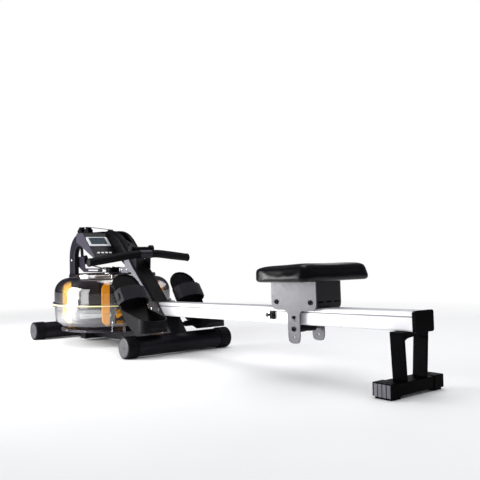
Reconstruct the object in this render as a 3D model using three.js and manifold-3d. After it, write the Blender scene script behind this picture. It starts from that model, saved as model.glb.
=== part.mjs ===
// Water rowing machine: a bent steel frame on two round floor tubes, a water tank with an impeller, a sloping
// belt cover with a console on its near side, two footrests, and a long rail with a rolling seat.
// Units are millimetres. +X runs to the rear, where the seat is, +Y to the far side and +Z up from the floor.
import * as THREE from 'three';
import { mergeVertices } from 'three/addons/utils/BufferGeometryUtils.js';
import Module from 'manifold-3d';

const wasm = await Module();
wasm.setup();

// Clearances and tools
const seatGap = 0.3;
const overrun = 6;
const roundSides = 24;
const smallSides = 12;
const filletSteps = 5;
const hexSides = 6;
const mergeShare = 2e-7;
const roundEndShare = 0.47;

// Floor tubes
const footTubeRadius = 39.5;
const footTubeWall = 2.5;
const footTubeLength = 500;
const footCapRadius = 43;
const footCapLength = 52;
const footCapWall = 3;
const footCapRibDepth = 1.6;
const footCapRibCount = 24;
const frontTubeX = -1012;
const middleTubeX = -136;

// Beam under the tank and the cross bar that steadies the tank
const beamWidth = 80;
const beamHeight = 44;
const beamWall = 3;
const beamTop = 66;
const crossBarX = -808;
const crossBarDepth = 50;
const crossBarWidth = 180;
const crossBarBottom = 10;

// Water tank
const tankX = -671;
const tankRadius = 266;
const tankWall = 4;
const tankBevel = 38;
const tankBevelHeight = 32;
const flangeProud = 8;
const flangeThickness = 6;
const flangeTop = 181;
const gasketThickness = 5;
const shoulderRadius = 66;
const shoulderTop = 303;
const lidRise = 18;
const lidEdge = 6;
const baseRingProud = 9;
const baseRingWidth = 87;
const baseRingStep = 10;
const baseRingHeight = 9;
const shaftRadius = 9;
const shaftTop = 352;
const hubRadius = 34;
const hubHeight = 92;
const bladeCount = 4;
const bladeThickness = 4;
const bladeClear = 28;
const bladeTop = 286;
const bladeFoot = 92;
const bladeRootX = 30;
const bladeCup = 34;
const bladeCornerRadius = 40;
const bladeStartAngle = -35;
const bearingRadius = 30;
const bearingFlange = 50;
const plugRadius = 21;
const plugOffset = 128;
const plugHeight = 13;
const drumRadius = 46;
const drumHeight = 25;
const drumFlange = 2.5;
const drumCore = 31;

// Bent post and arch, on the near side of the belt
const archNear = -41;
const archThickness = 27;
const archFront = -1051;
const archDepth = 57;
const archTop = 518;
const archBend = 120;
const archFoot = 57;
const archEnd = -700;

// Slope cover over the belt
const coverHalfWidth = 41;
const coverEdge = 18;
const coverCrestX = -568;
const coverFootX = -262;
const coverFootTop = 218;
const coverDepth = 34;
const coverCrestDepth = 84;
const coverBend = 165;

// Rail and its socket
const railFrontX = -230.917;
const railFrontTop = 203.117;
const railPitch = 0.021;
const railWidth = 80;
const railHeight = 55;
const railWall = 3;
const railCorner = 7;
const railLength = 1285;
const railGrooveDrop = 13;
const railGrooveWidth = 3;
const railGrooveDepth = 1.5;
const endCapLength = 32;
const endCapProud = 2;
const endCapFace = 2;
const socketWall = 3;
const socketLean = 49;
const spliceX = -563;
const spliceWidth = 23;
const spliceHeight = 26;
const spliceProud = 6;
const boltRadius = 7;
const boltProud = 3.5;

// Upright between the middle tube and the rail
const uprightHalfWidth = 38;
const uprightDepth = 62;
const uprightRearX = -127;
const uprightLeanShare = 0.8;
const pedalAxleX = -196;
const pedalAxleZ = 108;
const pedalAxleRadius = 8;

// Rear foot
const legInset = 56.3;
const legShift = 5;
const legWidth = 45;
const legThickness = 9;
const legTopY = 54;
const legFootY = 45;
const legPlateThickness = 6;
const legPlateDrop = 17;
const legPlateArc = 8;
const rearFootDepth = 62;
const rearFootLength = 233;
const rearFootTop = 42;
const rearFootBottom = 8;
const rearFootWall = 2.5;
const rearCapLength = 42;
const rearCapProud = 1.7;
const rearPadInset = 6;

// Values of the tank, the cover and the rail that follow the sizes above
const tankSides = 32;
const tankDraft = 4;
const bladeSteps = 3;
const hubTaper = 6;
const bearingDepth = 12;
const bearingLip = 2.7;
const plugAngle = 2.2;
const plugLip = 4;
const archSteps = 6;
const archCorner = 5;
const coverWall = 3;
const coverReach = 40;
const coverPathShares = [0.15, 0.35, 0.6];
const coverDepthShares = [0.12, 0.3, 0.62];
const slotHalfWidth = 12;
const slotEnd = -492;
const slotDrop = 24;
const socketReach = 55;
const socketDepth = 17;
const smallSteps = 2;
const plateSteps = 10;
const pedalOuter = 204;
const pedalAxleEnd = 8;
const pedalAxleHead = 12;
const guideSides = 16;
const beltSteps = 6;
const wireSides = 6;
const handleSides = 12;
const gripSides = 16;

// Belt and its guides
const beltHalfWidth = 8;
const beltThickness = 1.8;
const guideHalfWidth = 10;
const guideFlange = 2.6;
const guideBore = 4;
const guideHead = 6.5;
const guidePlate = 3.4;
const topGuideRadius = 15;
const topGuides = { front: [-989, 535], rear: [-916, 533] };
const topPlateDrop = 48;
const topPlateReach = 23;
const loopWire = 2.4;
const loopReach = 38;
const loopDrop = 19;
const lowGuideRadius = 19;
const lowGuide = [-963, 388];
const rollerRadius = 9;
const rollerX = -688;
const rollerDrop = 2;
const rollerAxleHalf = 20;

// Arm from the post and bracket plate beside the cover
const armPostX = -1044;
const armPostTop = 402;
const armPostFoot = 370;
const armEarX = -941;
const armElbowX = -930;
const armTop = 343;
const armFoot = 324;
const armEndX = -751;
const armBend = 14;
const armSlotStart = -900;
const armSlotEnd = -792;
const armSlotHeight = 7;
const sidePlateThickness = 4;
const sidePlate = { left: -520, right: -449, foot: 324.5, step: 351, top: 391, stepX: -475, shoulderX: -486 };
const gusset = { tipX: -311, tipZ: 255, lowX: -352, lowZ: 267, rootX: -438, rootZ: 337 };

// Console
const consoleNear = -156;
const consoleFaceTop = [-646, 489];
const consoleFaceFoot = [-544, 394];
const consoleBack = -728;
const consoleLip = 508;
const consoleBackFoot = 466;
const consoleBellyX = [-696, -609];
const consoleBellyZ = [455, 415];
const consoleNose = 5;
const consoleCorner = 6;
const bezelInset = 4;
const bezelDrop = 64;
const bezelThickness = 3;
const bezelCorner = 5;
const screenSide = 12;
const screenTop = 7;
const screenHeight = 45;
const screenThickness = 1.6;
const buttonCount = 4;
const buttonDrop = 108;
const buttonPitch = 19.5;
const buttonNearY = -126;
const buttonWidth = 12;
const buttonHeight = 9;
const buttonCorner = 3.5;
const buttonProud = 2.5;
const buttonDeep = 4;
const buttonTravel = 1.5;
const buttonSlack = 0.35;

// Handle and its rest
const handleX = -378;
const handleZ = 406;
const handleHalf = 250;
const handleRadius = 12.5;
const handleBend = 60;
const handleBendRadius = 120;
const handleSweep = [-37, -25];
const gripRadius = 17.5;
const gripStart = 82;
const gripWall = 3;
const gripRing = 1.2;
const clampRadius = 19;
const clampHalf = 29;
const clampTabLength = 30;
const clampTabHalf = 9;
const clampTabThickness = 5;
const restX = -410;
const restZ = 431;
const restRod = 8;
const restHalf = 58;
const restKnob = 15;
const restKnobWidth = 16;
const restArmStart = 30.5;
const restArmThickness = 6.5;
const restArmFront = -432;
const restArmFoot = -394;
const restArmLip = 12;

// Seat carriage and seat pad, placed along the rail from its rear end
const seatOnRail = -450;
const plateHalfLength = 101.5;
const plateTop = 82;
const plateFoot = -8;
const plateOuter = 56.7;
const plateThickness = 3;
const plateCorner = 22;
const plateFillet = 18;
const tabHalf = 27;
const tabFoot = -113;
const tabCorner = 24;
const webFoot = 3;
const webSlotWidth = 26;
const webSlotPitch = 36.4;
const webSlotHeight = 5;
const webSlotHeightAt = 16;
const seatAxle = 6;
const seatAxleHead = 8;
const seatAxleHeadProud = 3.5;
const upperRollerRadius = 17.5;
const upperRollerHalf = 36;
const upperAxleReach = 77;
const lowerRollerRadius = 11.7;
const rollerChamfer = 2;
const smallBoltDrop = -37;
const smallBoltRadius = 5;
const tabHoleDrop = -93;
const tabHoleRadius = 4;
const padFront = 122.5;
const padRear = 151;
const padHalfWidth = 155;
const padHeight = 46;
const padFrontRadius = 90;
const padRearRadius = 26;
const padRearRise = 9;
const padCrown = 2;
const padInsets = [10, 3, 0, 4, 9, 14, 24, 56];
const padHeightShares = [0, 0.06, 0.2, 0.5, 0.8, 0.93, 0.99, 1];

// Footrests
const soleProfile = [[-333, 317], [-235, 173], [-190, 129], [-150, 105], [-112, 93], [-78, 97], [-56,
  118], [-50, 143]];
const soleInner = 80;
const soleThickness = 8;
const soleLip = 4;
const soleWall = 5;
const soleToeRadius = 57;
const soleHeelRadius = 54;
const footBoss = 12;
const footRibHalf = 18;
const strapStart = 28;
const strapWidth = 62;
const strapThickness = 3;
const strapSide = 22;
const strapHeight = 62;
const buckleLength = 26;
const buckleThickness = 4;
const buckleHeight = 22;

const black = new THREE.Color(0x17171b);
const satinBlack = { color: black, roughness: 0.42, metalness: 0.35 };
const plasticBlack = { color: new THREE.Color(0x111114), roughness: 0.55, metalness: 0 };
const rubberBlack = { color: new THREE.Color(0x1b1b1e), roughness: 0.8, metalness: 0 };
const greySteel = { color: new THREE.Color(0x8f8c97), roughness: 0.45, metalness: 0.5 };
const chromeSteel = { color: new THREE.Color(0xc9c9cf), roughness: 0.2, metalness: 1 };
const whiteRail = { color: new THREE.Color(0xf1f1f4), roughness: 0.35, metalness: 0.1 };
const smokeTank = { color: new THREE.Color(0x3a3736), roughness: 0.1, metalness: 0 };
const clearTank = { color: new THREE.Color(0xe9eef0), roughness: 0.08, metalness: 0 };
const amber = { color: new THREE.Color(0xf0a818), roughness: 0.25, metalness: 0 };
const silver = { color: new THREE.Color(0xb9b9c0), roughness: 0.3, metalness: 0.6 };
const screenGlass = { color: new THREE.Color(0x27394a), roughness: 0.15, metalness: 0 };
const vinyl = { color: new THREE.Color(0x0d0d10), roughness: 0.3, metalness: 0 };
const webbing = { color: new THREE.Color(0x2a2930), roughness: 0.75, metalness: 0 };
const paleYellow = { color: new THREE.Color(0xf0e6a0), roughness: 0.4, metalness: 0 };

const machine = new THREE.Group();

// The rail runs up from its front end in the socket, and its rear end carries the rear foot.
const railRearX = railFrontX + railLength * Math.cos(railPitch);
const railTop = railFrontTop + railLength * Math.sin(railPitch);
const legX = railRearX - legInset;
const socketFront = -railLength - socketReach;
const socketRear = socketDepth - railLength;

// A closed geometry as a solid that can be joined and cut.
function solid(geometry) {
  const bare = geometry.index ? geometry.toNonIndexed() : geometry.clone();
  bare.deleteAttribute('normal');
  bare.deleteAttribute('uv');
  const merged = mergeVertices(bare, mergeShare * footTubeLength);
  const corners = merged.index.array;
  const kept = [];
  for (let start = 0; start < corners.length; start += 3) {
    const [a, b, c] = corners.slice(start, start + 3);
    if (a !== b && b !== c && c !== a) {
      kept.push(a, b, c);
    }
  }
  return new wasm.Manifold(new wasm.Mesh({
    numProp: 3,
    vertProperties: new Float32Array(merged.attributes.position.array),
    triVerts: new Uint32Array(kept),
  }));
}

function geometryOf(body) {
  const mesh = body.getMesh();
  const geometry = new THREE.BufferGeometry();
  geometry.setAttribute('position', new THREE.BufferAttribute(new Float32Array(mesh.vertProperties), 3));
  geometry.setIndex(new THREE.BufferAttribute(new Uint32Array(mesh.triVerts), 1));
  geometry.computeVertexNormals();
  return geometry;
}

function add(name, body, look, parent = machine) {
  const geometry = body.isBufferGeometry ? body : geometryOf(body);
  const mesh = new THREE.Mesh(geometry, new THREE.MeshStandardMaterial(look));
  mesh.name = name;
  parent.add(mesh);
  return mesh;
}

// Corner points [x, y, radius] turned into an outline whose corners are arcs.
function filleted(corners, steps = filletSteps) {
  const points = [];
  corners.forEach(([x, y, radius = 0], index) => {
    const here = new THREE.Vector2(x, y);
    if (radius === 0) {
      points.push(here);
      return;
    }
    const before = corners[(index + corners.length - 1) % corners.length];
    const after = corners[(index + 1) % corners.length];
    const back = new THREE.Vector2(before[0], before[1]).sub(here).normalize();
    const ahead = new THREE.Vector2(after[0], after[1]).sub(here).normalize();
    const half = Math.acos(THREE.MathUtils.clamp(back.dot(ahead), -1, 1)) / 2;
    const reach = radius / Math.tan(half);
    const centre = here.clone().addScaledVector(back.clone().add(ahead).normalize(), radius / Math.sin(half));
    const start = here.clone().addScaledVector(back, reach).sub(centre).angle();
    const end = here.clone().addScaledVector(ahead, reach).sub(centre).angle();
    const turn = Math.atan2(Math.sin(end - start), Math.cos(end - start));
    for (let step = 0; step <= steps; step += 1) {
      const angle = start + (turn * step) / steps;
      points.push(centre.clone().add(new THREE.Vector2(radius * Math.cos(angle), radius * Math.sin(angle))));
    }
  });
  return points;
}

function prism(points, depth) {
  return new THREE.ExtrudeGeometry(new THREE.Shape(points), { depth, bevelEnabled: false, steps: 1 });
}

// A side view outline in X and Z, made solid between two places along Y.
function alongY(points, low, high) {
  return solid(prism(points, high - low).rotateX(Math.PI / 2).translate(0, high, 0));
}

// A section in Y and Z, made solid between two places along X.
function alongX(points, low, high) {
  const turn = new THREE.Matrix4().makeBasis(
    new THREE.Vector3(0, 1, 0),
    new THREE.Vector3(0, 0, 1),
    new THREE.Vector3(1, 0, 0),
  );
  return solid(prism(points, high - low).applyMatrix4(turn).translate(low, 0, 0));
}

// A plan view outline in X and Y, made solid between two heights.
function alongZ(points, low, high) {
  return solid(prism(points, high - low).translate(0, 0, low));
}

function rectangle(left, bottom, right, top, radius = 0) {
  return filleted([[left, bottom, radius], [right, bottom, radius], [right, top, radius], [left, top,
    radius]]);
}

function box(x, y, z) {
  const size = [x, y, z].map(([low, high]) => high - low);
  const middle = [x, y, z].map(([low, high]) => (low + high) / 2);
  return solid(new THREE.BoxGeometry(...size).translate(...middle));
}

function rodY(x, z, radius, low, high, sides = roundSides) {
  return solid(new THREE.CylinderGeometry(radius, radius, high - low, sides).translate(x,
    (low + high) / 2, z));
}

// The circle inside which a cutter with flat sides clears a round piece of this radius.
function clearRadius(radius, sides) {
  return (radius + seatGap) / Math.cos(Math.PI / sides);
}

// A turned piece about a vertical axis at the tank: the profile is [radius, height].
function turned(profile, sides = roundSides, x = tankX, y = 0) {
  const points = profile.map(([radius, height]) => new THREE.Vector2(radius, height));
  if (THREE.ShapeUtils.area(points) < 0) {
    points.reverse();
  }
  if (points[0].x > 0) {
    points.push(points[0].clone());
  }
  return solid(new THREE.LatheGeometry(points, sides).rotateX(Math.PI / 2).translate(x, y, 0));
}

// A quarter arc of [radius, height] profile points about a centre, from one angle to another.
function profileArc(centreRadius, centreHeight, radius, from, to, steps = filletSteps) {
  const points = [];
  for (let step = 0; step <= steps; step += 1) {
    const angle = from + ((to - from) * step) / steps;
    points.push([centreRadius + radius * Math.cos(angle), centreHeight + radius * Math.sin(angle)]);
  }
  return points;
}

// A path in X and Z with rounded corners and two free ends.
function roundedPath(corners, steps = filletSteps) {
  const first = corners[0];
  const last = corners[corners.length - 1];
  return filleted([[first[0], first[1]], ...corners.slice(1, -1), [last[0], last[1]]], steps);
}

// A section swept along a path in X and Z: section points are [out of the path on its left, along Y].
function swept(path, sectionAt) {
  const rings = path.map((point, index) => {
    const before = path[Math.max(index - 1, 0)];
    const after = path[Math.min(index + 1, path.length - 1)];
    const into = point.clone().sub(before);
    const out = after.clone().sub(point);
    const start = index === 0 ? out : into;
    const end = index === path.length - 1 ? into : out;
    const along = start.normalize().clone().add(end.normalize()).normalize();
    const stretch = 1 / along.dot(start);
    return sectionAt(index / (path.length - 1)).map(([side, y]) => [
      point.x - along.y * side * stretch, y, point.y + along.x * side * stretch,
    ]);
  });
  const count = rings[0].length;
  const positions = rings.flat(2);
  const faces = [];
  for (let ring = 0; ring + 1 < rings.length; ring += 1) {
    for (let corner = 0; corner < count; corner += 1) {
      const next = (corner + 1) % count;
      const [a, b] = [ring * count + corner, ring * count + next];
      faces.push(a, b, b + count, a, b + count, a + count);
    }
  }
  const flat = sectionAt(0).map(([side, y]) => new THREE.Vector2(side, y));
  const turn = THREE.ShapeUtils.area(flat) < 0;
  const lastRing = (rings.length - 1) * count;
  for (const [a, b, c] of THREE.ShapeUtils.triangulateShape(flat, [])) {
    faces.push(...(turn ? [a, b, c] : [c, b, a]));
    faces.push(...(turn ? [lastRing + c, lastRing + b, lastRing + a] : [lastRing + a, lastRing + b,
      lastRing + c]));
  }
  const geometry = new THREE.BufferGeometry();
  geometry.setAttribute('position', new THREE.Float32BufferAttribute(positions, 3));
  geometry.setIndex(faces);
  const body = solid(geometry);
  if (body.volume() > 0) {
    return body;
  }
  for (let start = 0; start < faces.length; start += 3) {
    [faces[start], faces[start + 1]] = [faces[start + 1], faces[start]];
  }
  geometry.setIndex(faces);
  return solid(geometry);
}

function pairs(points) {
  return points.map((point) => [point.x, point.y]);
}

function saddle(x, sides = roundSides) {
  return rodY(x, footCapRadius, clearRadius(footTubeRadius, sides), -footTubeLength, footTubeLength, sides);
}

// One floor tube with a fluted cap over each end.
function floorTube(name, x) {
  const half = footTubeLength / 2;
  const tubeHalf = half - footCapWall - seatGap;
  const bore = footTubeRadius - footTubeWall;
  const tube = rodY(x, footCapRadius, footTubeRadius, -tubeHalf, tubeHalf)
    .subtract(rodY(x, footCapRadius, bore, -tubeHalf - overrun, tubeHalf + overrun));
  add(`${name}_foot_tube`, tube, satinBlack);
  for (const [side, sign] of [['near', -1], ['far', 1]]) {
    const outline = [];
    for (let rib = 0; rib < footCapRibCount; rib += 1) {
      const crest = (2 * Math.PI * rib) / footCapRibCount - Math.PI / 2;
      const pitch = (2 * Math.PI) / footCapRibCount;
      const root = footCapRadius - footCapRibDepth;
      outline.push(new THREE.Vector2(x + footCapRadius * Math.cos(crest),
        footCapRadius * (1 + Math.sin(crest))));
      const valley = crest + pitch / 2;
      outline.push(new THREE.Vector2(x + root * Math.cos(valley), footCapRadius + root * Math.sin(valley)));
    }
    const inner = half - footCapLength;
    const shell = alongY(outline, Math.min(sign * inner, sign * half), Math.max(sign * inner, sign * half));
    const deep = half - footCapWall;
    const pocket = rodY(
      x,
      footCapRadius,
      clearRadius(footTubeRadius, roundSides),
      Math.min(sign * (inner - overrun), sign * deep),
      Math.max(sign * (inner - overrun), sign * deep),
    );
    add(`${name}_foot_cap_${side}`, shell.subtract(pocket), rubberBlack);
  }
}

function spineBeam() {
  const half = beamWidth / 2;
  const bottom = beamTop - beamHeight;
  const outer = alongX(rectangle(-half, bottom, half, beamTop, beamWall), frontTubeX, middleTubeX);
  const inner = box(
    [frontTubeX - overrun, middleTubeX + overrun],
    [beamWall - half, half - beamWall],
    [bottom + beamWall, beamTop - beamWall],
  );
  add('spine_beam', outer.subtract(inner).subtract(saddle(frontTubeX)).subtract(saddle(middleTubeX)),
    satinBlack);
}

function crossBar() {
  const half = crossBarWidth / 2;
  const notchHalf = beamWidth / 2 + seatGap;
  const notchFoot = beamTop - beamHeight - seatGap;
  const section = filleted([
    [-half, crossBarBottom, beamWall], [half, crossBarBottom, beamWall], [half, beamTop], [notchHalf,
      beamTop],
    [notchHalf, notchFoot], [-notchHalf, notchFoot], [-notchHalf, beamTop], [-half, beamTop],
  ]);
  const low = crossBarX - crossBarDepth / 2;
  add('tank_cross_bar', alongX(section, low, low + crossBarDepth), satinBlack);
}

const flangeRadius = tankRadius + flangeProud;
const tankLowRadius = tankRadius - tankBevel;
const baseRingRadius = tankLowRadius + baseRingProud;
const baseRingInner = baseRingRadius - baseRingWidth;
const bladeReach = tankRadius - bladeClear;
const shellFoot = beamTop + 2 * seatGap + baseRingHeight;
const upperFoot = flangeTop + gasketThickness + 2 * seatGap;
const lidTop = shoulderTop + lidRise;
const lidCentre = tankRadius - shoulderRadius;

function tankShells() {
  const ringFoot = beamTop + seatGap;
  add('tank_base_ring', turned([
    [baseRingInner, ringFoot], [baseRingRadius, ringFoot], [baseRingRadius, ringFoot + baseRingHeight / 2],
    [baseRingRadius - baseRingStep, ringFoot + baseRingHeight / 2],
    [baseRingRadius - baseRingStep, ringFoot + baseRingHeight], [baseRingInner, ringFoot + baseRingHeight],
  ], tankSides), greySteel);
  const bevelTop = shellFoot + tankBevelHeight;
  const flangeFoot = flangeTop - flangeThickness;
  add('tank_lower_shell', turned([
    [0, shellFoot], [tankLowRadius, shellFoot], [tankRadius - tankDraft, bevelTop], [tankRadius, flangeFoot],
    [flangeRadius, flangeFoot], [flangeRadius, flangeTop], [tankRadius - tankWall, flangeTop],
    [tankRadius - tankDraft - tankWall, bevelTop], [tankLowRadius - tankWall, shellFoot + tankWall],
    [0, shellFoot + tankWall],
  ], tankSides), clearTank);
  add('tank_gasket', turned([
    [tankRadius - tankWall, flangeTop + seatGap], [flangeRadius, flangeTop + seatGap],
    [flangeRadius, upperFoot - seatGap], [tankRadius - tankWall, upperFoot - seatGap],
  ], tankSides), paleYellow);
  const bend = shoulderTop - shoulderRadius;
  const quarter = Math.PI / 2;
  const hole = bearingRadius + seatGap;
  const upper = turned([
    [tankRadius - tankWall, upperFoot], [flangeRadius, upperFoot], [flangeRadius,
      upperFoot + flangeThickness],
    [tankRadius, upperFoot + flangeThickness],
    ...profileArc(lidCentre, bend, shoulderRadius, 0, quarter),
    [lidCentre, lidTop - lidEdge], [lidCentre - lidEdge, lidTop], [hole, lidTop], [hole, lidTop - tankWall],
    [lidCentre - lidEdge, lidTop - tankWall], [lidCentre - tankWall, shoulderTop - tankWall],
    ...profileArc(lidCentre, bend, shoulderRadius - tankWall, quarter, 0).slice(1),
  ], tankSides);
  const plugX = tankX + plugOffset * Math.cos(plugAngle);
  const plugY = plugOffset * Math.sin(plugAngle);
  const plugHole = turned(
    [[0, shoulderTop], [plugRadius + seatGap, shoulderTop], [plugRadius + seatGap, lidTop + overrun],
      [0, lidTop + overrun]], smallSides, plugX, plugY);
  add('tank_upper_shell', upper.subtract(plugHole), smokeTank);
  const plugNeck = plugRadius - seatGap;
  const plug = turned([
    [0, lidTop - tankWall], [plugNeck, lidTop - tankWall], [plugNeck, lidTop + seatGap],
    [plugRadius + plugLip, lidTop + seatGap], [plugRadius + plugLip, lidTop + plugLip],
    [plugNeck, lidTop + plugLip], [plugNeck - plugLip, lidTop + plugHeight], [0, lidTop + plugHeight],
  ], smallSides, plugX, plugY);
  add('fill_plug', plug, plasticBlack);
}

function impeller() {
  const foot = shellFoot + tankWall + seatGap;
  add('impeller_shaft', turned([[0, foot], [shaftRadius, foot], [shaftRadius, shaftTop], [0, shaftTop]],
    smallSides), chromeSteel);
  const bore = clearRadius(shaftRadius, smallSides);
  const middle = (bladeFoot + bladeTop) / 2;
  let wheel = turned([
    [bore, middle - hubHeight / 2], [hubRadius - hubTaper, middle - hubHeight / 2], [hubRadius, middle],
    [hubRadius - hubTaper, middle + hubHeight / 2], [bore, middle + hubHeight / 2],
  ], smallSides);
  const span = bladeReach - bladeRootX;
  const bandRadius = (span * span) / (8 * bladeCup) + bladeCup / 2;
  const centre = [bladeRootX + span / 2, bladeCup - bandRadius];
  const sweep = Math.asin(span / 2 / bandRadius);
  const band = [];
  for (const [radius, sign] of [[bandRadius, 1], [bandRadius - bladeThickness, -1]]) {
    for (let step = -bladeSteps; step <= bladeSteps; step += 1) {
      const angle = (sign * sweep * step) / bladeSteps;
      band.push(new THREE.Vector2(centre[0] - radius * Math.sin(angle),
        centre[1] + radius * Math.cos(angle)));
    }
  }
  const outline = rectangle(bladeRootX - overrun, bladeFoot, bladeReach, bladeTop, bladeCornerRadius);
  const root = rectangle(bladeRootX - overrun, middle - hubHeight / 2 + hubTaper, bladeRootX + bladeCup,
    middle + hubHeight / 2 - hubTaper);
  const reachY = bladeReach;
  const blade = alongZ(band, bladeFoot, bladeTop).intersect(
    alongY(outline, -reachY, reachY).add(alongY(root, -reachY, reachY)));
  for (let count = 0; count < bladeCount; count += 1) {
    const turn = bladeStartAngle + THREE.MathUtils.radToDeg((2 * Math.PI * count) / bladeCount);
    wheel = wheel.add(blade.rotate([0, 0, turn]).translate([tankX, 0, 0]));
  }
  const clearBore = turned([[0, bladeFoot - overrun], [bore, bladeFoot - overrun], [bore, bladeTop + overrun],
    [0, bladeTop + overrun]], smallSides);
  add('impeller', wheel.subtract(clearBore), amber);
  add('shaft_bearing', turned([
    [bore, lidTop - bearingDepth], [bearingRadius, lidTop - bearingDepth], [bearingRadius, lidTop + seatGap],
    [bearingFlange, lidTop + seatGap], [bearingFlange, lidTop + bearingLip], [bore, lidTop + bearingLip],
  ], roundSides), chromeSteel);
  const drumFoot = lidTop + bearingLip + seatGap;
  add('belt_drum', turned([
    [bore, drumFoot], [drumRadius, drumFoot], [drumRadius, drumFoot + drumFlange],
    [drumCore, drumFoot + drumFlange], [drumCore, drumFoot + drumHeight - drumFlange],
    [drumRadius, drumFoot + drumHeight - drumFlange], [drumRadius, drumFoot + drumHeight],
    [bore, drumFoot + drumHeight],
  ], roundSides), plasticBlack);
}

// The near side post and the arch that it bends into.
function archFrame() {
  const path = roundedPath([[archFront, archFoot], [archFront, archTop, archBend], [archEnd, archTop]],
    archSteps);
  const section = rectangle(-archDepth, archNear, 0, archNear + archThickness, archCorner);
  const bar = swept(path, () => pairs(section));
  add('arch_frame', bar.subtract(saddle(frontTubeX)), satinBlack);
}

const coverSlope = (archTop - coverFootTop) / (coverFootX - coverCrestX);

// The cover's depth along its length: it deepens under the crest and is shallow on the slope.
function coverDepthAt(share) {
  const [start, full, end] = coverDepthShares;
  const grown = THREE.MathUtils.clamp((share - start) / (full - start), 0, 1);
  const shrunk = THREE.MathUtils.clamp((share - full) / (end - full), 0, 1);
  return archDepth + grown * (coverCrestDepth - archDepth) + shrunk * (coverDepth - coverCrestDepth);
}

// The cover's outer body, grown or shrunk by a margin, and deeper by a reach at its open underside.
function coverBody(margin, open = 0) {
  const start = archEnd + seatGap - Math.max(margin, 0);
  const footX = coverFootX + coverReach;
  const footTop = coverFootTop - coverReach * coverSlope;
  const bend = roundedPath([[start, archTop], [coverCrestX, archTop, coverBend], [footX, footTop]],
    archSteps);
  const halves = coverPathShares.map((step) => bend[bend.length - 2].clone().lerp(bend[bend.length - 1], step));
  const path = [...bend.slice(0, -1), ...halves, bend[bend.length - 1]];
  const lengths = path.map((point, index) => (index === 0 ? 0 : point.distanceTo(path[index - 1])));
  const total = lengths.reduce((sum, length) => sum + length, 0);
  const places = lengths.map((length, index) => lengths.slice(0, index + 1).reduce((sum, part) =>
    sum + part, 0) / total);
  const halfWidth = coverHalfWidth + margin;
  return swept(path, (share) => {
    const deep = coverDepthAt(places[Math.round(share * (path.length - 1))]) + open;
    return pairs(filleted([
      [-deep, -halfWidth], [margin, -halfWidth, coverEdge + margin], [margin, halfWidth, coverEdge + margin],
      [-deep, halfWidth],
    ]));
  });
}

// The belt cover: it carries on from the arch, bends over and slopes down to the rail socket. A trough with a
// floor under the belt runs along its top.
function slopeCover() {
  const rollerTop = archTop - rollerDrop + wrapOf(rollerRadius);
  const beltSlope = (rollerTop - handleZ) / (handleX - rollerX);
  const trough = (wall) => {
    const floor = (x) => rollerTop - (x - rollerX) * beltSlope - slotDrop - wall;
    const [front, rear] = [archEnd - overrun, slotEnd + wall];
    return alongY([
      new THREE.Vector2(front, floor(front)), new THREE.Vector2(rear, floor(rear)),
      new THREE.Vector2(rear, archTop + overrun), new THREE.Vector2(front, archTop + overrun),
    ], -slotHalfWidth - wall, slotHalfWidth + wall);
  };
  const hollow = coverBody(-coverWall, overrun).subtract(trough(coverWall));
  const clear = onRail(box([socketFront - seatGap, 0], [-railWidth, railWidth],
    [-railHeight - railHeight, socketWall + 2 * seatGap]));
  const axle = rodY(rollerX, archTop - rollerDrop, guideBore, -rollerAxleHalf, rollerAxleHalf, smallSides);
  add('slope_cover', coverBody(0).subtract(hollow).subtract(trough(0)).subtract(clear).add(axle),
    plasticBlack);
}

const railMatrix = new THREE.Matrix4().makeRotationY(-railPitch).setPosition(railRearX, 0, railTop);

function onRail(body) {
  return body.transform(railMatrix.elements);
}

function railParts() {
  const half = railWidth / 2;
  const groove = railHeight - railGrooveDrop;
  const side = (sign) => [
    [sign * half, groove - railHeight - railGrooveWidth], [sign * (half - railGrooveDepth),
      groove - railHeight
      - railGrooveWidth], [sign * (half - railGrooveDepth), groove - railHeight], [sign * half,
        groove - railHeight],
  ];
  const section = filleted([
    [-half, -railHeight, railCorner], [half, -railHeight, railCorner], ...side(1), [half, 0, railCorner],
    [-half, 0, railCorner], ...side(-1).reverse(),
  ], smallSteps);
  const rear = -endCapFace - seatGap;
  const inner = box([-railLength - overrun, overrun], [railWall - half, half - railWall],
    [railWall - railHeight, -railWall]);
  add('rail', onRail(alongX(section, -railLength, rear).subtract(inner)), whiteRail);
  const capHalf = half + endCapProud;
  const cap = alongX(rectangle(-capHalf, -railHeight - endCapProud, capHalf, endCapProud, railCorner),
    -endCapLength, 0);
  const pocket = box([-endCapLength - overrun, -endCapFace], [-half - seatGap, half + seatGap],
    [-railHeight - seatGap, seatGap]);
  add('rail_end_cap', onRail(cap.subtract(pocket)), plasticBlack);
  const socketHalf = half + seatGap + socketWall;
  const socketFoot = -railHeight - seatGap - socketWall;
  const socketTop = seatGap + socketWall;
  const outline = filleted([
    [socketFront, socketFoot], [socketRear + socketLean, socketFoot], [socketRear, socketTop],
    [socketFront, socketTop],
  ]);
  const bore = box([socketFront + socketWall, 0], [-half - seatGap, half + seatGap],
    [-railHeight - seatGap, seatGap]);
  add('rail_socket', onRail(alongY(outline, -socketHalf, socketHalf).subtract(bore)), satinBlack);
  const blockNear = -half - seatGap - spliceProud;
  const block = alongY(rectangle(spliceX - spliceWidth / 2, -(railHeight + spliceHeight) / 2,
    spliceX + spliceWidth / 2, (spliceHeight - railHeight) / 2, spliceProud / 2), blockNear, -half - seatGap);
  const bolt = rodY(spliceX, -railHeight / 2, boltRadius, blockNear - boltProud, -half - 2 * seatGap,
    hexSides);
  add('splice_block', onRail(block.add(bolt)), plasticBlack);
}

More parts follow.
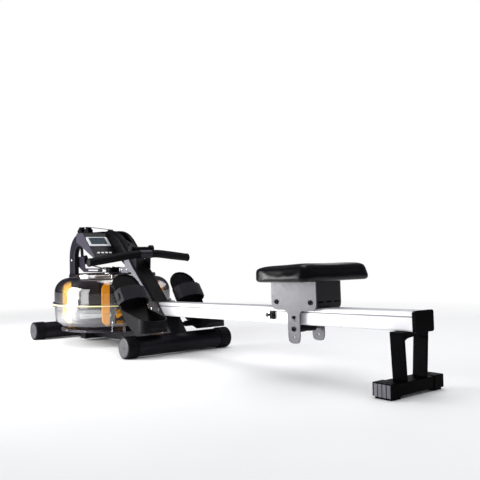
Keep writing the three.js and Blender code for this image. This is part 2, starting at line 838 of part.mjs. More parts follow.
function upright() {
  const foot = beamTop + 2 * seatGap;
  const top = railTop;
  const rearAt = (height) => uprightRearX - (height - 2 * footCapRadius) * uprightLeanShare;
  const outline = filleted([
    [rearAt(foot) - uprightDepth, foot], [rearAt(foot), foot], [rearAt(top), top],
      [rearAt(top) - uprightDepth, top],
  ]);
  const post = alongY(outline, -uprightHalfWidth, uprightHalfWidth);
  const above = onRail(box([-2 * railLength, 0], [-railWidth, railWidth],
    [-railHeight - 2 * seatGap - socketWall, railTop]));
  const axle = rodY(pedalAxleX, pedalAxleZ, pedalAxleRadius, -pedalOuter - pedalAxleEnd,
    pedalOuter + pedalAxleEnd,
    smallSides);
  let body = post.subtract(above).subtract(saddle(middleTubeX)).add(axle);
  for (const sign of [-1, 1]) {
    const [low, high] = [sign * (pedalOuter + seatGap), sign * (pedalOuter + pedalAxleEnd)].sort((a,
      b) => a - b);
    body = body.add(rodY(pedalAxleX, pedalAxleZ, pedalAxleHead, low, high, smallSides));
  }
  add('middle_upright', body, satinBlack);
}

function rearFoot() {
  const half = rearFootDepth / 2;
  const under = onRail(box([-railLength, railWall], [-railWidth, railWidth], [-railHeight - seatGap,
    railHeight]));
  const legFoot = rearFootTop + seatGap;
  const legTop = railTop - railHeight - legPlateThickness - 2 * seatGap;
  const left = legX + legShift - legWidth / 2;
  const lean = (legTopY - legFootY) / (legTop - legFoot);
  const centre = (height) => legFootY + (height - legFoot) * lean;
  for (const [side, sign] of [['near', -1], ['far', 1]]) {
    const outline = [[-1, legFoot], [1, legFoot], [1, legTop], [-1, legTop]].map(([edge, height]) => [
      sign * centre(height) + (edge * legThickness) / 2, height]);
    add(`rear_leg_${side}`, alongX(filleted(outline), left, left + legWidth), satinBlack);
  }
  const cap = onRail(box([-endCapLength - seatGap, railWall], [-railWidth, railWidth],
    [-railHeight - endCapProud - seatGap, railHeight]));
  const plateFoot = legTop - legPlateDrop;
  const outer = legTopY + legThickness / 2;
  const inner = (height) => centre(height) - legThickness / 2 - seatGap;
  const shelf = legTop + seatGap;
  const plate = [[outer, shelf], [outer, railTop], [-outer, railTop], [-outer, shelf], [-inner(shelf), shelf],
    [-inner(plateFoot), plateFoot]];
  for (let step = 1; step < plateSteps; step += 1) {
    const share = (2 * step) / plateSteps - 1;
    plate.push([inner(plateFoot) * share, plateFoot + legPlateArc * Math.sqrt(1 - share * share)]);
  }
  plate.push([inner(plateFoot), plateFoot], [inner(shelf), shelf]);
  add('rear_leg_plate', alongX(filleted(plate), left, left + legWidth).subtract(under).subtract(cap), satinBlack);
  const long = rearFootLength / 2;
  const tubeHalf = long - rearFootWall - seatGap;
  const tube = alongY(rectangle(legX - half, rearFootBottom, legX + half, rearFootTop, rearFootWall),
    -tubeHalf, tubeHalf);
  const bore = box([legX - half + rearFootWall, legX + half - rearFootWall], [-long, long],
    [rearFootBottom + rearFootWall, rearFootTop - rearFootWall]);
  add('rear_foot_tube', tube.subtract(bore), satinBlack);
  for (const [side, sign] of [['near', -1], ['far', 1]]) {
    const [low, high] = [sign * (long - rearCapLength), sign * long].sort((a, b) => a - b);
    const deep = long - rearFootWall;
    const [pocketLow, pocketHigh] = [sign * (long - rearCapLength - overrun), sign * deep].sort((a,
      b) => a - b);
    const edge = half + rearCapProud;
    let cap = alongY(rectangle(legX - edge, rearFootBottom - rearCapProud, legX + edge,
      rearFootTop + rearCapProud,
      rearFootWall), low, high);
    cap = cap.subtract(box([legX - half - seatGap, legX + half + seatGap], [pocketLow, pocketHigh],
      [rearFootBottom - seatGap, rearFootTop + seatGap]));
    cap = cap.add(box([legX - edge + rearPadInset, legX + edge - rearPadInset],
      [sign > 0 ? low : low + rearPadInset / 2, sign > 0 ? high - rearPadInset / 2 : high],
      [0, rearFootBottom - 2 * seatGap]));
    add(`rear_foot_cap_${side}`, cap, greySteel);
  }
}

// A spool on an axle along Y: a core that the belt runs on, between two thin flanges.
function spool(name, [x, z], core, halfWidth = guideHalfWidth) {
  const flange = core + guideFlange;
  const bore = clearRadius(guideBore, smallSides);
  const rim = beltHalfWidth + seatGap;
  const points = [
    [bore, -halfWidth], [flange, -halfWidth], [flange, -rim], [core, -rim], [core, rim], [flange, rim],
    [flange, halfWidth], [bore, halfWidth], [bore, -halfWidth],
  ].map(([radius, y]) => new THREE.Vector2(radius, y));
  add(name, solid(new THREE.LatheGeometry(points, guideSides).translate(x, 0, z)), plasticBlack);
}

// The offset of a belt's centre line from a spool's axis.
function wrapOf(core) {
  return core + seatGap + beltThickness / 2;
}

// The centre line of a belt that turns round each wheel [x, z, radius] with the wheel on its left.
function beltLine(wheels) {
  const tangents = [];
  for (let index = 0; index + 1 < wheels.length; index += 1) {
    const [x1, z1, r1] = wheels[index];
    const [x2, z2, r2] = wheels[index + 1];
    const length = Math.hypot(x2 - x1, z2 - z1);
    const heading = Math.atan2(z2 - z1, x2 - x1) - Math.asin((r2 - r1) / length);
    const normal = new THREE.Vector2(Math.sin(heading), -Math.cos(heading));
    tangents.push([new THREE.Vector2(x1, z1).addScaledVector(normal, r1),
      new THREE.Vector2(x2, z2).addScaledVector(normal, r2)]);
  }
  const line = [tangents[0][0]];
  for (let index = 1; index + 1 < wheels.length; index += 1) {
    const centre = new THREE.Vector2(wheels[index][0], wheels[index][1]);
    const start = tangents[index - 1][1].clone().sub(centre).angle();
    const end = tangents[index][0].clone().sub(centre).angle();
    const turn = (end - start + 2 * Math.PI) % (2 * Math.PI);
    for (let step = 0; step <= beltSteps; step += 1) {
      const angle = start + (turn * step) / beltSteps;
      line.push(centre.clone().add(new THREE.Vector2(Math.cos(angle), Math.sin(angle))
        .multiplyScalar(wheels[index][2])));
    }
  }
  line.push(tangents[tangents.length - 1][1]);
  return line;
}

const tabAway = new THREE.Vector2(rollerX - handleX,
  archTop - rollerDrop + rollerRadius - handleZ).normalize();

function beltAndGuides() {
  spool('front_guide_pulley', topGuides.front, topGuideRadius);
  spool('rear_guide_pulley', topGuides.rear, topGuideRadius);
  spool('lower_guide_pulley', lowGuide, lowGuideRadius);
  spool('cover_roller', [rollerX, archTop - rollerDrop], rollerRadius);
  const reach = clampRadius + clampTabLength + seatGap;
  const start = [handleX + tabAway.x * reach, handleZ + tabAway.y * reach, 0];
  const drumZ = lidTop + bearingLip + drumHeight / 2;
  const line = beltLine([
    start, [rollerX, archTop - rollerDrop, wrapOf(rollerRadius)],
    [...topGuides.rear, wrapOf(topGuideRadius)], [...topGuides.front, wrapOf(topGuideRadius)],
    [...lowGuide, wrapOf(lowGuideRadius)], [tankX - drumRadius - seatGap, drumZ, 0],
  ]);
  const section = pairs(rectangle(-beltThickness / 2, -beltHalfWidth, beltThickness / 2, beltHalfWidth));
  add('drive_belt', swept(line, () => section), webbing);
}

// The carrier of the two top pulleys, with the wire loop in front of them.
function pulleyBracket() {
  const inner = guideHalfWidth + seatGap;
  const outer = inner + guidePlate;
  const [left, leftTop] = topGuides.front;
  const [right, rightTop] = topGuides.rear;
  const foot = archTop - topPlateDrop;
  const edge = topGuideRadius;
  const outline = filleted([
    [left, foot, edge], [right + topPlateReach, foot, edge], [right + topPlateReach,
      rightTop + guideHead, edge],
    [right, rightTop + guideHead + guideFlange, edge / 2], [(left + right) / 2, archTop, edge],
    [left, leftTop + guideHead + guideFlange, edge / 2], [left - topPlateReach, leftTop, edge / 2],
  ]);
  let bracket = alongY(outline, -outer, -inner).add(alongY(outline, inner, outer));
  for (const [x, z] of Object.values(topGuides)) {
    bracket = bracket.add(rodY(x, z, guideBore, -inner - guidePlate / 2, outer, smallSides))
      .add(rodY(x, z, guideHead, outer, outer + guideBore, smallSides));
  }
  const wire = [];
  for (let step = 0; step < wireSides; step += 1) {
    const angle = (2 * Math.PI * step) / wireSides;
    wire.push([loopWire * Math.cos(angle), (inner + outer) / 2 + loopWire * Math.sin(angle)]);
  }
  const tip = left - topPlateReach + loopWire;
  const loop = roundedPath([[tip + loopWire, leftTop - loopWire], [tip - loopReach / 2, leftTop,
    loopWire * 2],
    [tip - loopReach / 4, leftTop - loopDrop, loopWire * 2], [left, leftTop - loopDrop - loopWire]],
      smallSteps);
  add('pulley_bracket', bracket.add(swept(loop, () => wire)), satinBlack);
}

function sideBrackets() {
  const near = archNear + archThickness + seatGap;
  const outline = filleted([
    [armPostX, armPostFoot], [armElbowX - armBend, armFoot, armBend], [armEndX, armFoot,
      (armTop - armFoot) * roundEndShare],
    [armEndX, armTop, (armTop - armFoot) * roundEndShare], [armElbowX, armTop, armBend / 2], [armEarX,
      armPostTop, armBend],
    [armPostX, armPostTop, armBend / 2],
  ]);
  const middle = (armTop + armFoot) / 2;
  const slot = rectangle(armSlotStart, middle - armSlotHeight / 2, armSlotEnd, middle + armSlotHeight / 2,
    armSlotHeight * roundEndShare);
  const arm = alongY(outline, near, near + guidePlate).subtract(alongY(slot, near - overrun, near + overrun))
    .add(rodY(...lowGuide, guideBore, near + guidePlate / 2, guideHalfWidth + 2 * seatGap, smallSides))
    .add(rodY(...lowGuide, guideHead, guideHalfWidth + seatGap, guideHalfWidth + guideBore, smallSides));
  add('front_arm', arm, greySteel);
  const plate = sidePlate;
  const shape = filleted([
    [plate.left, plate.foot, armBend], [plate.right, plate.foot, armBend], [gusset.rootX, gusset.rootZ,
      armBend],
    [gusset.lowX, gusset.lowZ, armBend], [gusset.tipX, gusset.tipZ], [plate.right, plate.top - armBend / 2],
    [plate.shoulderX, plate.top], [plate.stepX, plate.step], [plate.left, plate.step, armBend / 2],
  ]);
  const outer = -coverHalfWidth - seatGap;
  add('bracket_plate', alongY(shape, outer - sidePlateThickness, outer), greySteel);
}

// Places a body drawn as [down the console face, along Y, out of the face].
const faceDown = new THREE.Vector3(consoleFaceFoot[0] - consoleFaceTop[0], 0,
  consoleFaceFoot[1] - consoleFaceTop[1]).normalize();
const faceOut = new THREE.Vector3().crossVectors(faceDown, new THREE.Vector3(0, 1, 0));
const faceMatrix = new THREE.Matrix4().makeBasis(faceDown, new THREE.Vector3(0, 1, 0), faceOut)
  .setPosition(consoleFaceTop[0], 0, consoleFaceTop[1]);

function onFace(body) {
  return body.transform(faceMatrix.elements);
}

function consoleParts() {
  const far = archNear - seatGap;
  let housing = alongY(filleted([
    [consoleBack, consoleBackFoot, consoleCorner], [consoleBellyX[0], consoleBellyZ[0], consoleCorner],
    [consoleBellyX[1], consoleBellyZ[1], consoleCorner], [consoleFaceFoot[0] - consoleNose, consoleFaceFoot[1]
      - consoleNose], [...consoleFaceFoot], [...consoleFaceTop],
    [consoleFaceTop[0] - (consoleLip - consoleFaceTop[1]), consoleLip, consoleCorner],
    [consoleBack, consoleLip, consoleCorner],
  ], smallSteps), consoleNear, far);
  const low = consoleNear + bezelInset;
  const high = far - bezelInset;
  const window = (slack) => rectangle(screenTop + slack, low + screenSide + slack,
    screenTop + screenHeight - slack,
    high - screenSide - slack, bezelCorner / 2);
  const frame = alongZ(rectangle(bezelInset / 2, low, bezelDrop, high, bezelCorner), seatGap,
    seatGap + bezelThickness)
    .subtract(alongZ(window(0), -overrun, overrun));
  add('console_bezel', onFace(frame), silver);
  add('console_screen', onFace(alongZ(window(seatGap), seatGap, seatGap + screenThickness)), screenGlass);
  for (let count = 0; count < buttonCount; count += 1) {
    const y = buttonNearY + count * buttonPitch;
    const outline = (slack, corner) => rectangle(buttonDrop - buttonHeight / 2 - slack,
      y - buttonWidth / 2 - slack,
      buttonDrop + buttonHeight / 2 + slack, y + buttonWidth / 2 + slack, corner);
    housing = housing.subtract(onFace(alongZ(outline(buttonSlack, buttonCorner),
      -buttonDeep - buttonTravel - seatGap, overrun)));
    add(`console_button_${count + 1}`, onFace(alongZ(outline(0, buttonCorner), -buttonDeep,
      buttonProud)), silver);
  }
  add('console_housing', housing, plasticBlack);
}

// Handle pieces are drawn in a plane: [along Y, forward and down], then turned into place.
const sweepAway = new THREE.Vector3(handleSweep[0], 0, handleSweep[1]);
const sweepDepth = sweepAway.length();
sweepAway.normalize();
const handleMatrix = new THREE.Matrix4().makeBasis(new THREE.Vector3(0, 1, 0),
  new THREE.Vector3(-sweepAway.z, 0, sweepAway.x), sweepAway).setPosition(handleX, 0, handleZ);

function circleSection(radius, sides) {
  const points = [];
  for (let step = 0; step < sides; step += 1) {
    const angle = (2 * Math.PI * step) / sides;
    points.push([radius * Math.cos(angle), radius * Math.sin(angle)]);
  }
  return points;
}

function handleParts() {
  const span = handleHalf - handleBend;
  const lean = (along) => (sweepDepth * (along - handleBend)) / span;
  const at = (along) => [along, lean(along)];
  const barEnd = handleHalf - gripWall - seatGap;
  const bar = roundedPath([[-barEnd, lean(barEnd)], [-handleBend, 0, handleBendRadius],
    [handleBend, 0, handleBendRadius], at(barEnd)], smallSteps);
  add('handle_bar', swept(bar, () => circleSection(handleRadius,
    handleSides)).transform(handleMatrix.elements),
    satinBlack);
  const bore = clearRadius(handleRadius, handleSides);
  for (const [side, sign] of [['near', -1], ['far', 1]]) {
    const ends = (from, to) => [at(from), at(to)].map(([along, away]) => new THREE.Vector2(sign * along,
      away));
    const sleeve = swept(ends(gripStart, handleHalf), () => circleSection(gripRadius, gripSides));
    const inside = swept(ends(gripStart - overrun, handleHalf - gripWall), () => circleSection(bore,
      handleSides));
    const collar = swept(ends(gripStart, gripStart + gripWall), () =>
      circleSection(gripRadius + gripRing, gripSides));
    add(`handle_grip_${side}`, sleeve.add(collar).subtract(inside).transform(handleMatrix.elements),
      rubberBlack);
  }
  const hub = rodY(handleX, handleZ, clampRadius, -clampHalf, clampHalf, gripSides);
  const across = new THREE.Vector2(-tabAway.y, tabAway.x);
  const tabEnd = clampRadius + clampTabLength;
  const corner = (far, side) => [handleX + tabAway.x * far + (across.x * side * clampTabThickness) / 2,
    handleZ + tabAway.y * far + (across.y * side * clampTabThickness) / 2];
  const tab = alongY(filleted([corner(0, -1), corner(tabEnd, -1), corner(tabEnd, 1), corner(0, 1)]),
    -clampTabHalf, clampTabHalf);
  const hole = rodY(handleX, handleZ, bore, -handleHalf, handleHalf, gripSides);
  add('handle_clamp', hub.add(tab).subtract(hole), plasticBlack);
}

function handleRest() {
  const low = (x) => archTop - (x - coverCrestX) * coverSlope - overrun;
  const rear = handleX - handleRadius - seatGap;
  const outline = filleted([
    [restArmFront, low(restArmFront)], [restArmFoot, low(restArmFoot)], [rear, handleZ - restArmLip],
    [rear, handleZ + restArmLip], [restX + restRod, restZ + restRod], [restX - restRod, restZ + restRod],
    [restX - restArmLip, restZ - restArmLip],
  ]);
  const end = restArmStart + restArmThickness;
  let rest = rodY(restX, restZ, restRod, -restHalf, restHalf, smallSides);
  for (const sign of [-1, 1]) {
    const [low1, high1] = [sign * restArmStart, sign * end].sort((a, b) => a - b);
    const [low2, high2] = [sign * (restHalf - restKnobWidth), sign * restHalf].sort((a, b) => a - b);
    rest = rest.add(alongY(outline, low1, high1)).add(rodY(restX, restZ, restKnob, low2, high2, gripSides));
  }
  add('handle_rest', rest.subtract(coverBody(seatGap)), satinBlack);
}

// A stack of closed rings, joined into one solid with a fan over each end.
function lofted(rings) {
  const count = rings[0].length;
  const positions = rings.flat(2);
  const middle = (ring) => ring.reduce((sum, point) => sum.map((value, axis) =>
    value + point[axis] / count), [0, 0, 0]);
  const firstTip = rings.length * count;
  positions.push(...middle(rings[0]), ...middle(rings[rings.length - 1]));
  const faces = [];
  for (let corner = 0; corner < count; corner += 1) {
    const next = (corner + 1) % count;
    for (let ring = 0; ring + 1 < rings.length; ring += 1) {
      const [a, b] = [ring * count + corner, ring * count + next];
      faces.push(a, b, b + count, a, b + count, a + count);
    }
    const top = (rings.length - 1) * count;
    faces.push(firstTip, next, corner, firstTip + 1, top + corner, top + next);
  }
  const geometry = new THREE.BufferGeometry();
  geometry.setAttribute('position', new THREE.Float32BufferAttribute(positions, 3));
  geometry.setIndex(faces);
  return solid(geometry);
}

// The pad's rings from its foot to its top: rounded in front, squarer at the rear, where it is thicker.
function seatPad() {
  const corner = (radius, inset) => Math.max(radius - inset, radius / 2);
  return padInsets.map((inset, ring) => {
    const share = padHeightShares[ring];
    const halfWidth = padHalfWidth - inset;
    const outline = filleted([
      [inset - padFront, -halfWidth, corner(padFrontRadius, inset)],
      [padRear - inset, -halfWidth, corner(padRearRadius, inset)],
      [padRear - inset, halfWidth, corner(padRearRadius, inset)],
      [inset - padFront, halfWidth, corner(padFrontRadius, inset)],
    ]);
    const crown = share === 1 ? padCrown : 0;
    return outline.map(({ x, y }) => {
      const rise = (share * padRearRise * (x + padFront)) / (padFront + padRear) + crown;
      return [seatOnRail + x, y, plateTop + seatGap + padHeight * share + rise];
    });
  });
}

function wheelOnRail(name, x, z, radius) {
  const bore = clearRadius(seatAxle, smallSides);
  const half = upperRollerHalf;
  const edge = half - rollerChamfer;
  const points = [
    [bore, -half], [radius - rollerChamfer, -half], [radius, -edge], [radius, edge],
      [radius - rollerChamfer, half],
    [bore, half], [bore, -half],
  ].map(([out, y]) => new THREE.Vector2(out, y));
  add(name, onRail(solid(new THREE.LatheGeometry(points, guideSides).translate(x, 0, z))), rubberBlack);
}

function seatParts() {
  const inner = plateOuter - plateThickness;
  const [left, right] = [seatOnRail - plateHalfLength, seatOnRail + plateHalfLength];
  const outline = filleted([
    [left, plateTop], [left, plateFoot, plateCorner], [seatOnRail - tabHalf, plateFoot, plateFillet],
    [seatOnRail - tabHalf, tabFoot, tabCorner], [seatOnRail + tabHalf, tabFoot, tabCorner],
    [seatOnRail + tabHalf, plateFoot, plateFillet], [right, plateFoot, plateCorner], [right, plateTop],
  ].reverse());
  const axles = [[seatOnRail - upperAxleReach, upperRollerRadius + seatGap],
    [seatOnRail + upperAxleReach, upperRollerRadius + seatGap],
    [seatOnRail, -railHeight - seatGap - lowerRollerRadius]];
  let body = alongY(outline, inner, plateOuter).add(alongY(outline, -plateOuter, -inner))
    .add(box([left, right], [-inner - seatGap, inner + seatGap], [plateTop - plateThickness, plateTop]));
  const web = alongX(rectangle(-inner - seatGap, webFoot, inner + seatGap, plateTop),
    right - plateThickness, right);
  body = body.add(web);
  for (const side of [-1, 0, 1]) {
    const y = side * webSlotPitch;
    body = body.subtract(box([right - overrun, right + overrun], [y - webSlotWidth / 2, y + webSlotWidth / 2],
      [webSlotHeightAt, webSlotHeightAt + webSlotHeight]));
  }
  for (const [x, z] of axles) {
    const end = plateOuter + seatAxleHeadProud;
    body = body.add(rodY(x, z, seatAxle, -end, end, smallSides));
    for (const sign of [-1, 1]) {
      const [low, high] = [sign * plateOuter, sign * end].sort((a, b) => a - b);
      body = body.add(rodY(x, z, seatAxleHead, low, high, hexSides));
    }
  }
  for (const sign of [-1, 1]) {
    const [low, high] = [sign * inner, sign * (plateOuter + rollerChamfer)].sort((a, b) => a - b);
    body = body.add(rodY(seatOnRail, smallBoltDrop, smallBoltRadius, low, high, hexSides));
  }
  body = body.subtract(rodY(seatOnRail, tabHoleDrop, tabHoleRadius, -railWidth, railWidth, smallSides));
  add('seat_carriage', onRail(body), greySteel);
  wheelOnRail('seat_roller_front', ...axles[0], upperRollerRadius);
  wheelOnRail('seat_roller_rear', ...axles[1], upperRollerRadius);
  wheelOnRail('seat_roller_lower', ...axles[2], lowerRollerRadius);
  add('seat_pad', onRail(lofted(seatPad())), vinyl);
}

// A line in X and Z, moved to its left by a distance.
function shifted(line, distance) {
  return line.map(([x, z], index) => {
    const before = line[Math.max(index - 1, 0)];
    const after = line[Math.min(index + 1, line.length - 1)];
    const into = new THREE.Vector2(x - before[0], z - before[1]);
    const out = new THREE.Vector2(after[0] - x, after[1] - z);
    const start = (index === 0 ? out : into).clone().normalize();
    const end = (index === line.length - 1 ? into : out).clone().normalize();
    const along = start.clone().add(end).normalize();
    const reach = distance / along.dot(start);
    return new THREE.Vector2(x - along.y * reach, z + along.x * reach);
  });
}

// Strap and toe are drawn as [up the straight part of the sole, along Y, out of it towards the rower].
const [soleToe, soleBend] = soleProfile;
const soleAlong = new THREE.Vector3(soleToe[0] - soleBend[0], 0, soleToe[1] - soleBend[1]);
const soleReach = soleAlong.length();
soleAlong.normalize();
const soleOut = new THREE.Vector3(soleAlong.z, 0, -soleAlong.x);

function footrest(side, sign) {
  const centre = (sign * (soleInner + pedalOuter)) / 2;
  const half = (pedalOuter - soleInner) / 2;
  const matrix = new THREE.Matrix4().makeBasis(soleAlong, new THREE.Vector3(0, -1, 0), soleOut)
    .setPosition(soleBend[0], centre, soleBend[1]);
  const heelX = soleProfile[soleProfile.length - 1][0];
  // What a side view outline leaves when the toe is rounded in the sole's plane and the heel in plan.
  const rounded = (outline, inset) => {
    const edge = half - inset;
    const toe = alongZ(filleted([
      [-2 * soleReach, -edge], [soleReach - inset, -edge, soleToeRadius - inset],
      [soleReach - inset, edge, soleToeRadius - inset], [-2 * soleReach, edge],
    ]), -soleReach, soleReach).transform(matrix.elements);
    const heel = alongZ(filleted([
      [2 * soleToe[0], centre - edge], [heelX - inset, centre - edge, soleHeelRadius - inset],
      [heelX - inset, centre + edge, soleHeelRadius - inset], [2 * soleToe[0], centre + edge],
    ]), 0, 2 * soleToe[1]);
    return alongY(outline, centre - edge, centre + edge).intersect(toe).intersect(heel);
  };
  const back = shifted(soleProfile, 0);
  const rim = shifted(soleProfile, soleThickness + soleLip);
  const inside = shifted(soleProfile, soleThickness);
  const roof = 2 * soleToe[1];
  const cup = rounded([...back, rim[1], rim[0]], 0).subtract(rounded([
    ...inside, new THREE.Vector2(inside[inside.length - 1].x, roof), new THREE.Vector2(inside[0].x, roof),
  ], soleWall));
  const [low, high] = [sign * soleInner, sign * pedalOuter].sort((a, b) => a - b);
  const boss = rodY(pedalAxleX, pedalAxleZ, footBoss, low, high, gripSides);
  const hole = rodY(pedalAxleX, pedalAxleZ, clearRadius(pedalAxleRadius, smallSides), low - overrun,
    high + overrun, smallSides);
  const root = shifted(soleProfile, soleThickness / 2);
  const rib = alongY([
    new THREE.Vector2(pedalAxleX - footBoss, pedalAxleZ), new THREE.Vector2(pedalAxleX + footBoss,
      pedalAxleZ),
    root[3], root[2], root[1],
  ], centre - footRibHalf, centre + footRibHalf);
  add(`footrest_${side}`, cup.add(boss).add(rib).subtract(hole), rubberBlack);
  const inner = half + seatGap;
  const outer = inner + strapThickness;
  const arch = (reach, top) => {
    const points = [new THREE.Vector2(-reach, 0)];
    for (let step = 0; step <= archSteps; step += 1) {
      const angle = Math.PI * (1 - step / archSteps);
      points.push(new THREE.Vector2(reach * Math.cos(angle),
        strapSide + (top - strapSide) * Math.sin(angle)));
    }
    points.push(new THREE.Vector2(reach, 0));
    return points;
  };
  const band = [...arch(outer, strapHeight), ...arch(inner, strapHeight - strapThickness).reverse()];
  const outside = -sign * (outer - strapThickness / 2);
  const [buckleLow, buckleHigh] = [outside, outside - sign * buckleThickness].sort((a, b) => a - b);
  const middle = strapStart + strapWidth / 2;
  const strap = alongX(band, strapStart, strapStart + strapWidth).add(box(
    [middle - buckleLength / 2, middle + buckleLength / 2], [buckleLow, buckleHigh],
    [soleThickness, soleThickness + buckleHeight]));
  add(`foot_strap_${side}`, strap.transform(matrix.elements), webbing);
}

floorTube('front', frontTubeX);
floorTube('middle', middleTubeX);
spineBeam();
crossBar();
tankShells();
impeller();
archFrame();
slopeCover();
railParts();
upright();
rearFoot();
beltAndGuides();
pulleyBracket();
sideBrackets();
consoleParts();
handleParts();
handleRest();
seatParts();
footrest('near', -1);
footrest('far', 1);

export default machine;
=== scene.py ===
"""Looks of a water rowing machine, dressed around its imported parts.

Lengths are in metres. +X runs to the rear, where the seat is, +Y to the far side and +Z up.
"""

import logging
import math
from collections.abc import Callable
from dataclasses import dataclass
from enum import Enum

import bpy
from mathutils import Matrix, Vector

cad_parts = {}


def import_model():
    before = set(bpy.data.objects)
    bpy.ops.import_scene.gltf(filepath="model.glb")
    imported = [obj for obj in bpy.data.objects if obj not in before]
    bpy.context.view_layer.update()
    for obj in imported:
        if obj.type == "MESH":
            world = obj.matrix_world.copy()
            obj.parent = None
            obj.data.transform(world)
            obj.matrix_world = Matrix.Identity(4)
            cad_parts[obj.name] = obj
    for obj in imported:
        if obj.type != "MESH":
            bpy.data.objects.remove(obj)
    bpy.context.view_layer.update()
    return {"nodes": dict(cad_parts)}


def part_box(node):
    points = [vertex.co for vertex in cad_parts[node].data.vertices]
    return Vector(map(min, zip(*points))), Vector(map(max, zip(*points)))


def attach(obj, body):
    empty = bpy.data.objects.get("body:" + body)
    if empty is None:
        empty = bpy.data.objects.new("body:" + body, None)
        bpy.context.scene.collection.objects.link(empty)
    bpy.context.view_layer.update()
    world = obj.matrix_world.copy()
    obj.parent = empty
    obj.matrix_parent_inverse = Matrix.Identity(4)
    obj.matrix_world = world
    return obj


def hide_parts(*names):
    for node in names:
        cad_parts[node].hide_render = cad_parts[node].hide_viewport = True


LOG = logging.getLogger("rower")
Points = list[tuple[float, float]]
Colour = tuple[float, float, float]
Band = tuple[float, float]
Socket = bpy.types.NodeSocket
FINER = 7.0
"""How much finer the roughness varies than the colour."""
BORE = 0.0042
"""Radius of the hole in a belt wheel."""
MERGE = 0.00001
"""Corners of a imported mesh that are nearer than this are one."""
MERGE_MADE = 0.00002
"""Corners of a made mesh that are nearer than this are one."""
FAR = 9.0
"""A distance beyond every part of the machine."""
FLAT = math.radians(0.6)
"""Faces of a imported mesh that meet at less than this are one."""


def unit(value: float) -> float:
    """Holds a value between 0 and 1."""
    return max(0.0, min(1.0, value))


class Axis(Enum):
    """The line a turned piece is turned about, with the direction its radius starts from."""

    Y = ((0.0, 1.0, 0.0), (1.0, 0.0, 0.0))
    Z = ((0.0, 0.0, 1.0), (1.0, 0.0, 0.0))

    @property
    def along(self) -> Vector:
        """The direction of the axis."""
        return Vector(self.value[0])

    @property
    def across(self) -> Vector:
        """The direction of the first radius."""
        return Vector(self.value[1])


class Surface(Enum):
    """The kinds of surface texture."""

    POWDER = "powder coat"
    MOULDED = "moulded plastic"
    RUBBER = "rubber"
    POLISHED = "polished"
    BRUSHED = "brushed metal"
    WOVEN = "woven strap"
    VINYL = "vinyl"


@dataclass(frozen=True)
class Finish:
    """One finish: its colours, shine and surface texture.

    Attributes:
        name: name of the material.
        colour: main colour, linear red, green and blue.
        second: colour that the variation drifts to.
        roughness: least and greatest roughness.
        metallic: share of metal.
        surface: kind of surface texture.
        bump: strength of the surface texture.
        grain: size of the variation, in waves a metre.
        wear: share of light rubbed spots.
        shine: strength of the mirror part.
    """

    name: str
    colour: Colour
    second: Colour
    roughness: Band = (0.35, 0.5)
    metallic: float = 0.0
    surface: Surface = Surface.MOULDED
    bump: float = 0.1
    grain: float = 9.0
    wear: float = 0.12
    shine: float = 0.5

    def make(self) -> bpy.types.Material:
        """Builds the material, or returns the one that was built before.

        Returns:
            The material.
        """
        found = bpy.data.materials.get(self.name)
        if found is not None:
            return found
        graph = Graph(self.name)
        colour = graph.drift(self.colour, self.second, self.grain)
        worn = graph.worn(colour, self.colour, self.wear)
        rough = graph.uneven(self.roughness, self.grain * FINER)
        shader = graph.principled(worn, rough, self.metallic, self.shine)
        return graph.textured(shader, self.surface, self.bump)


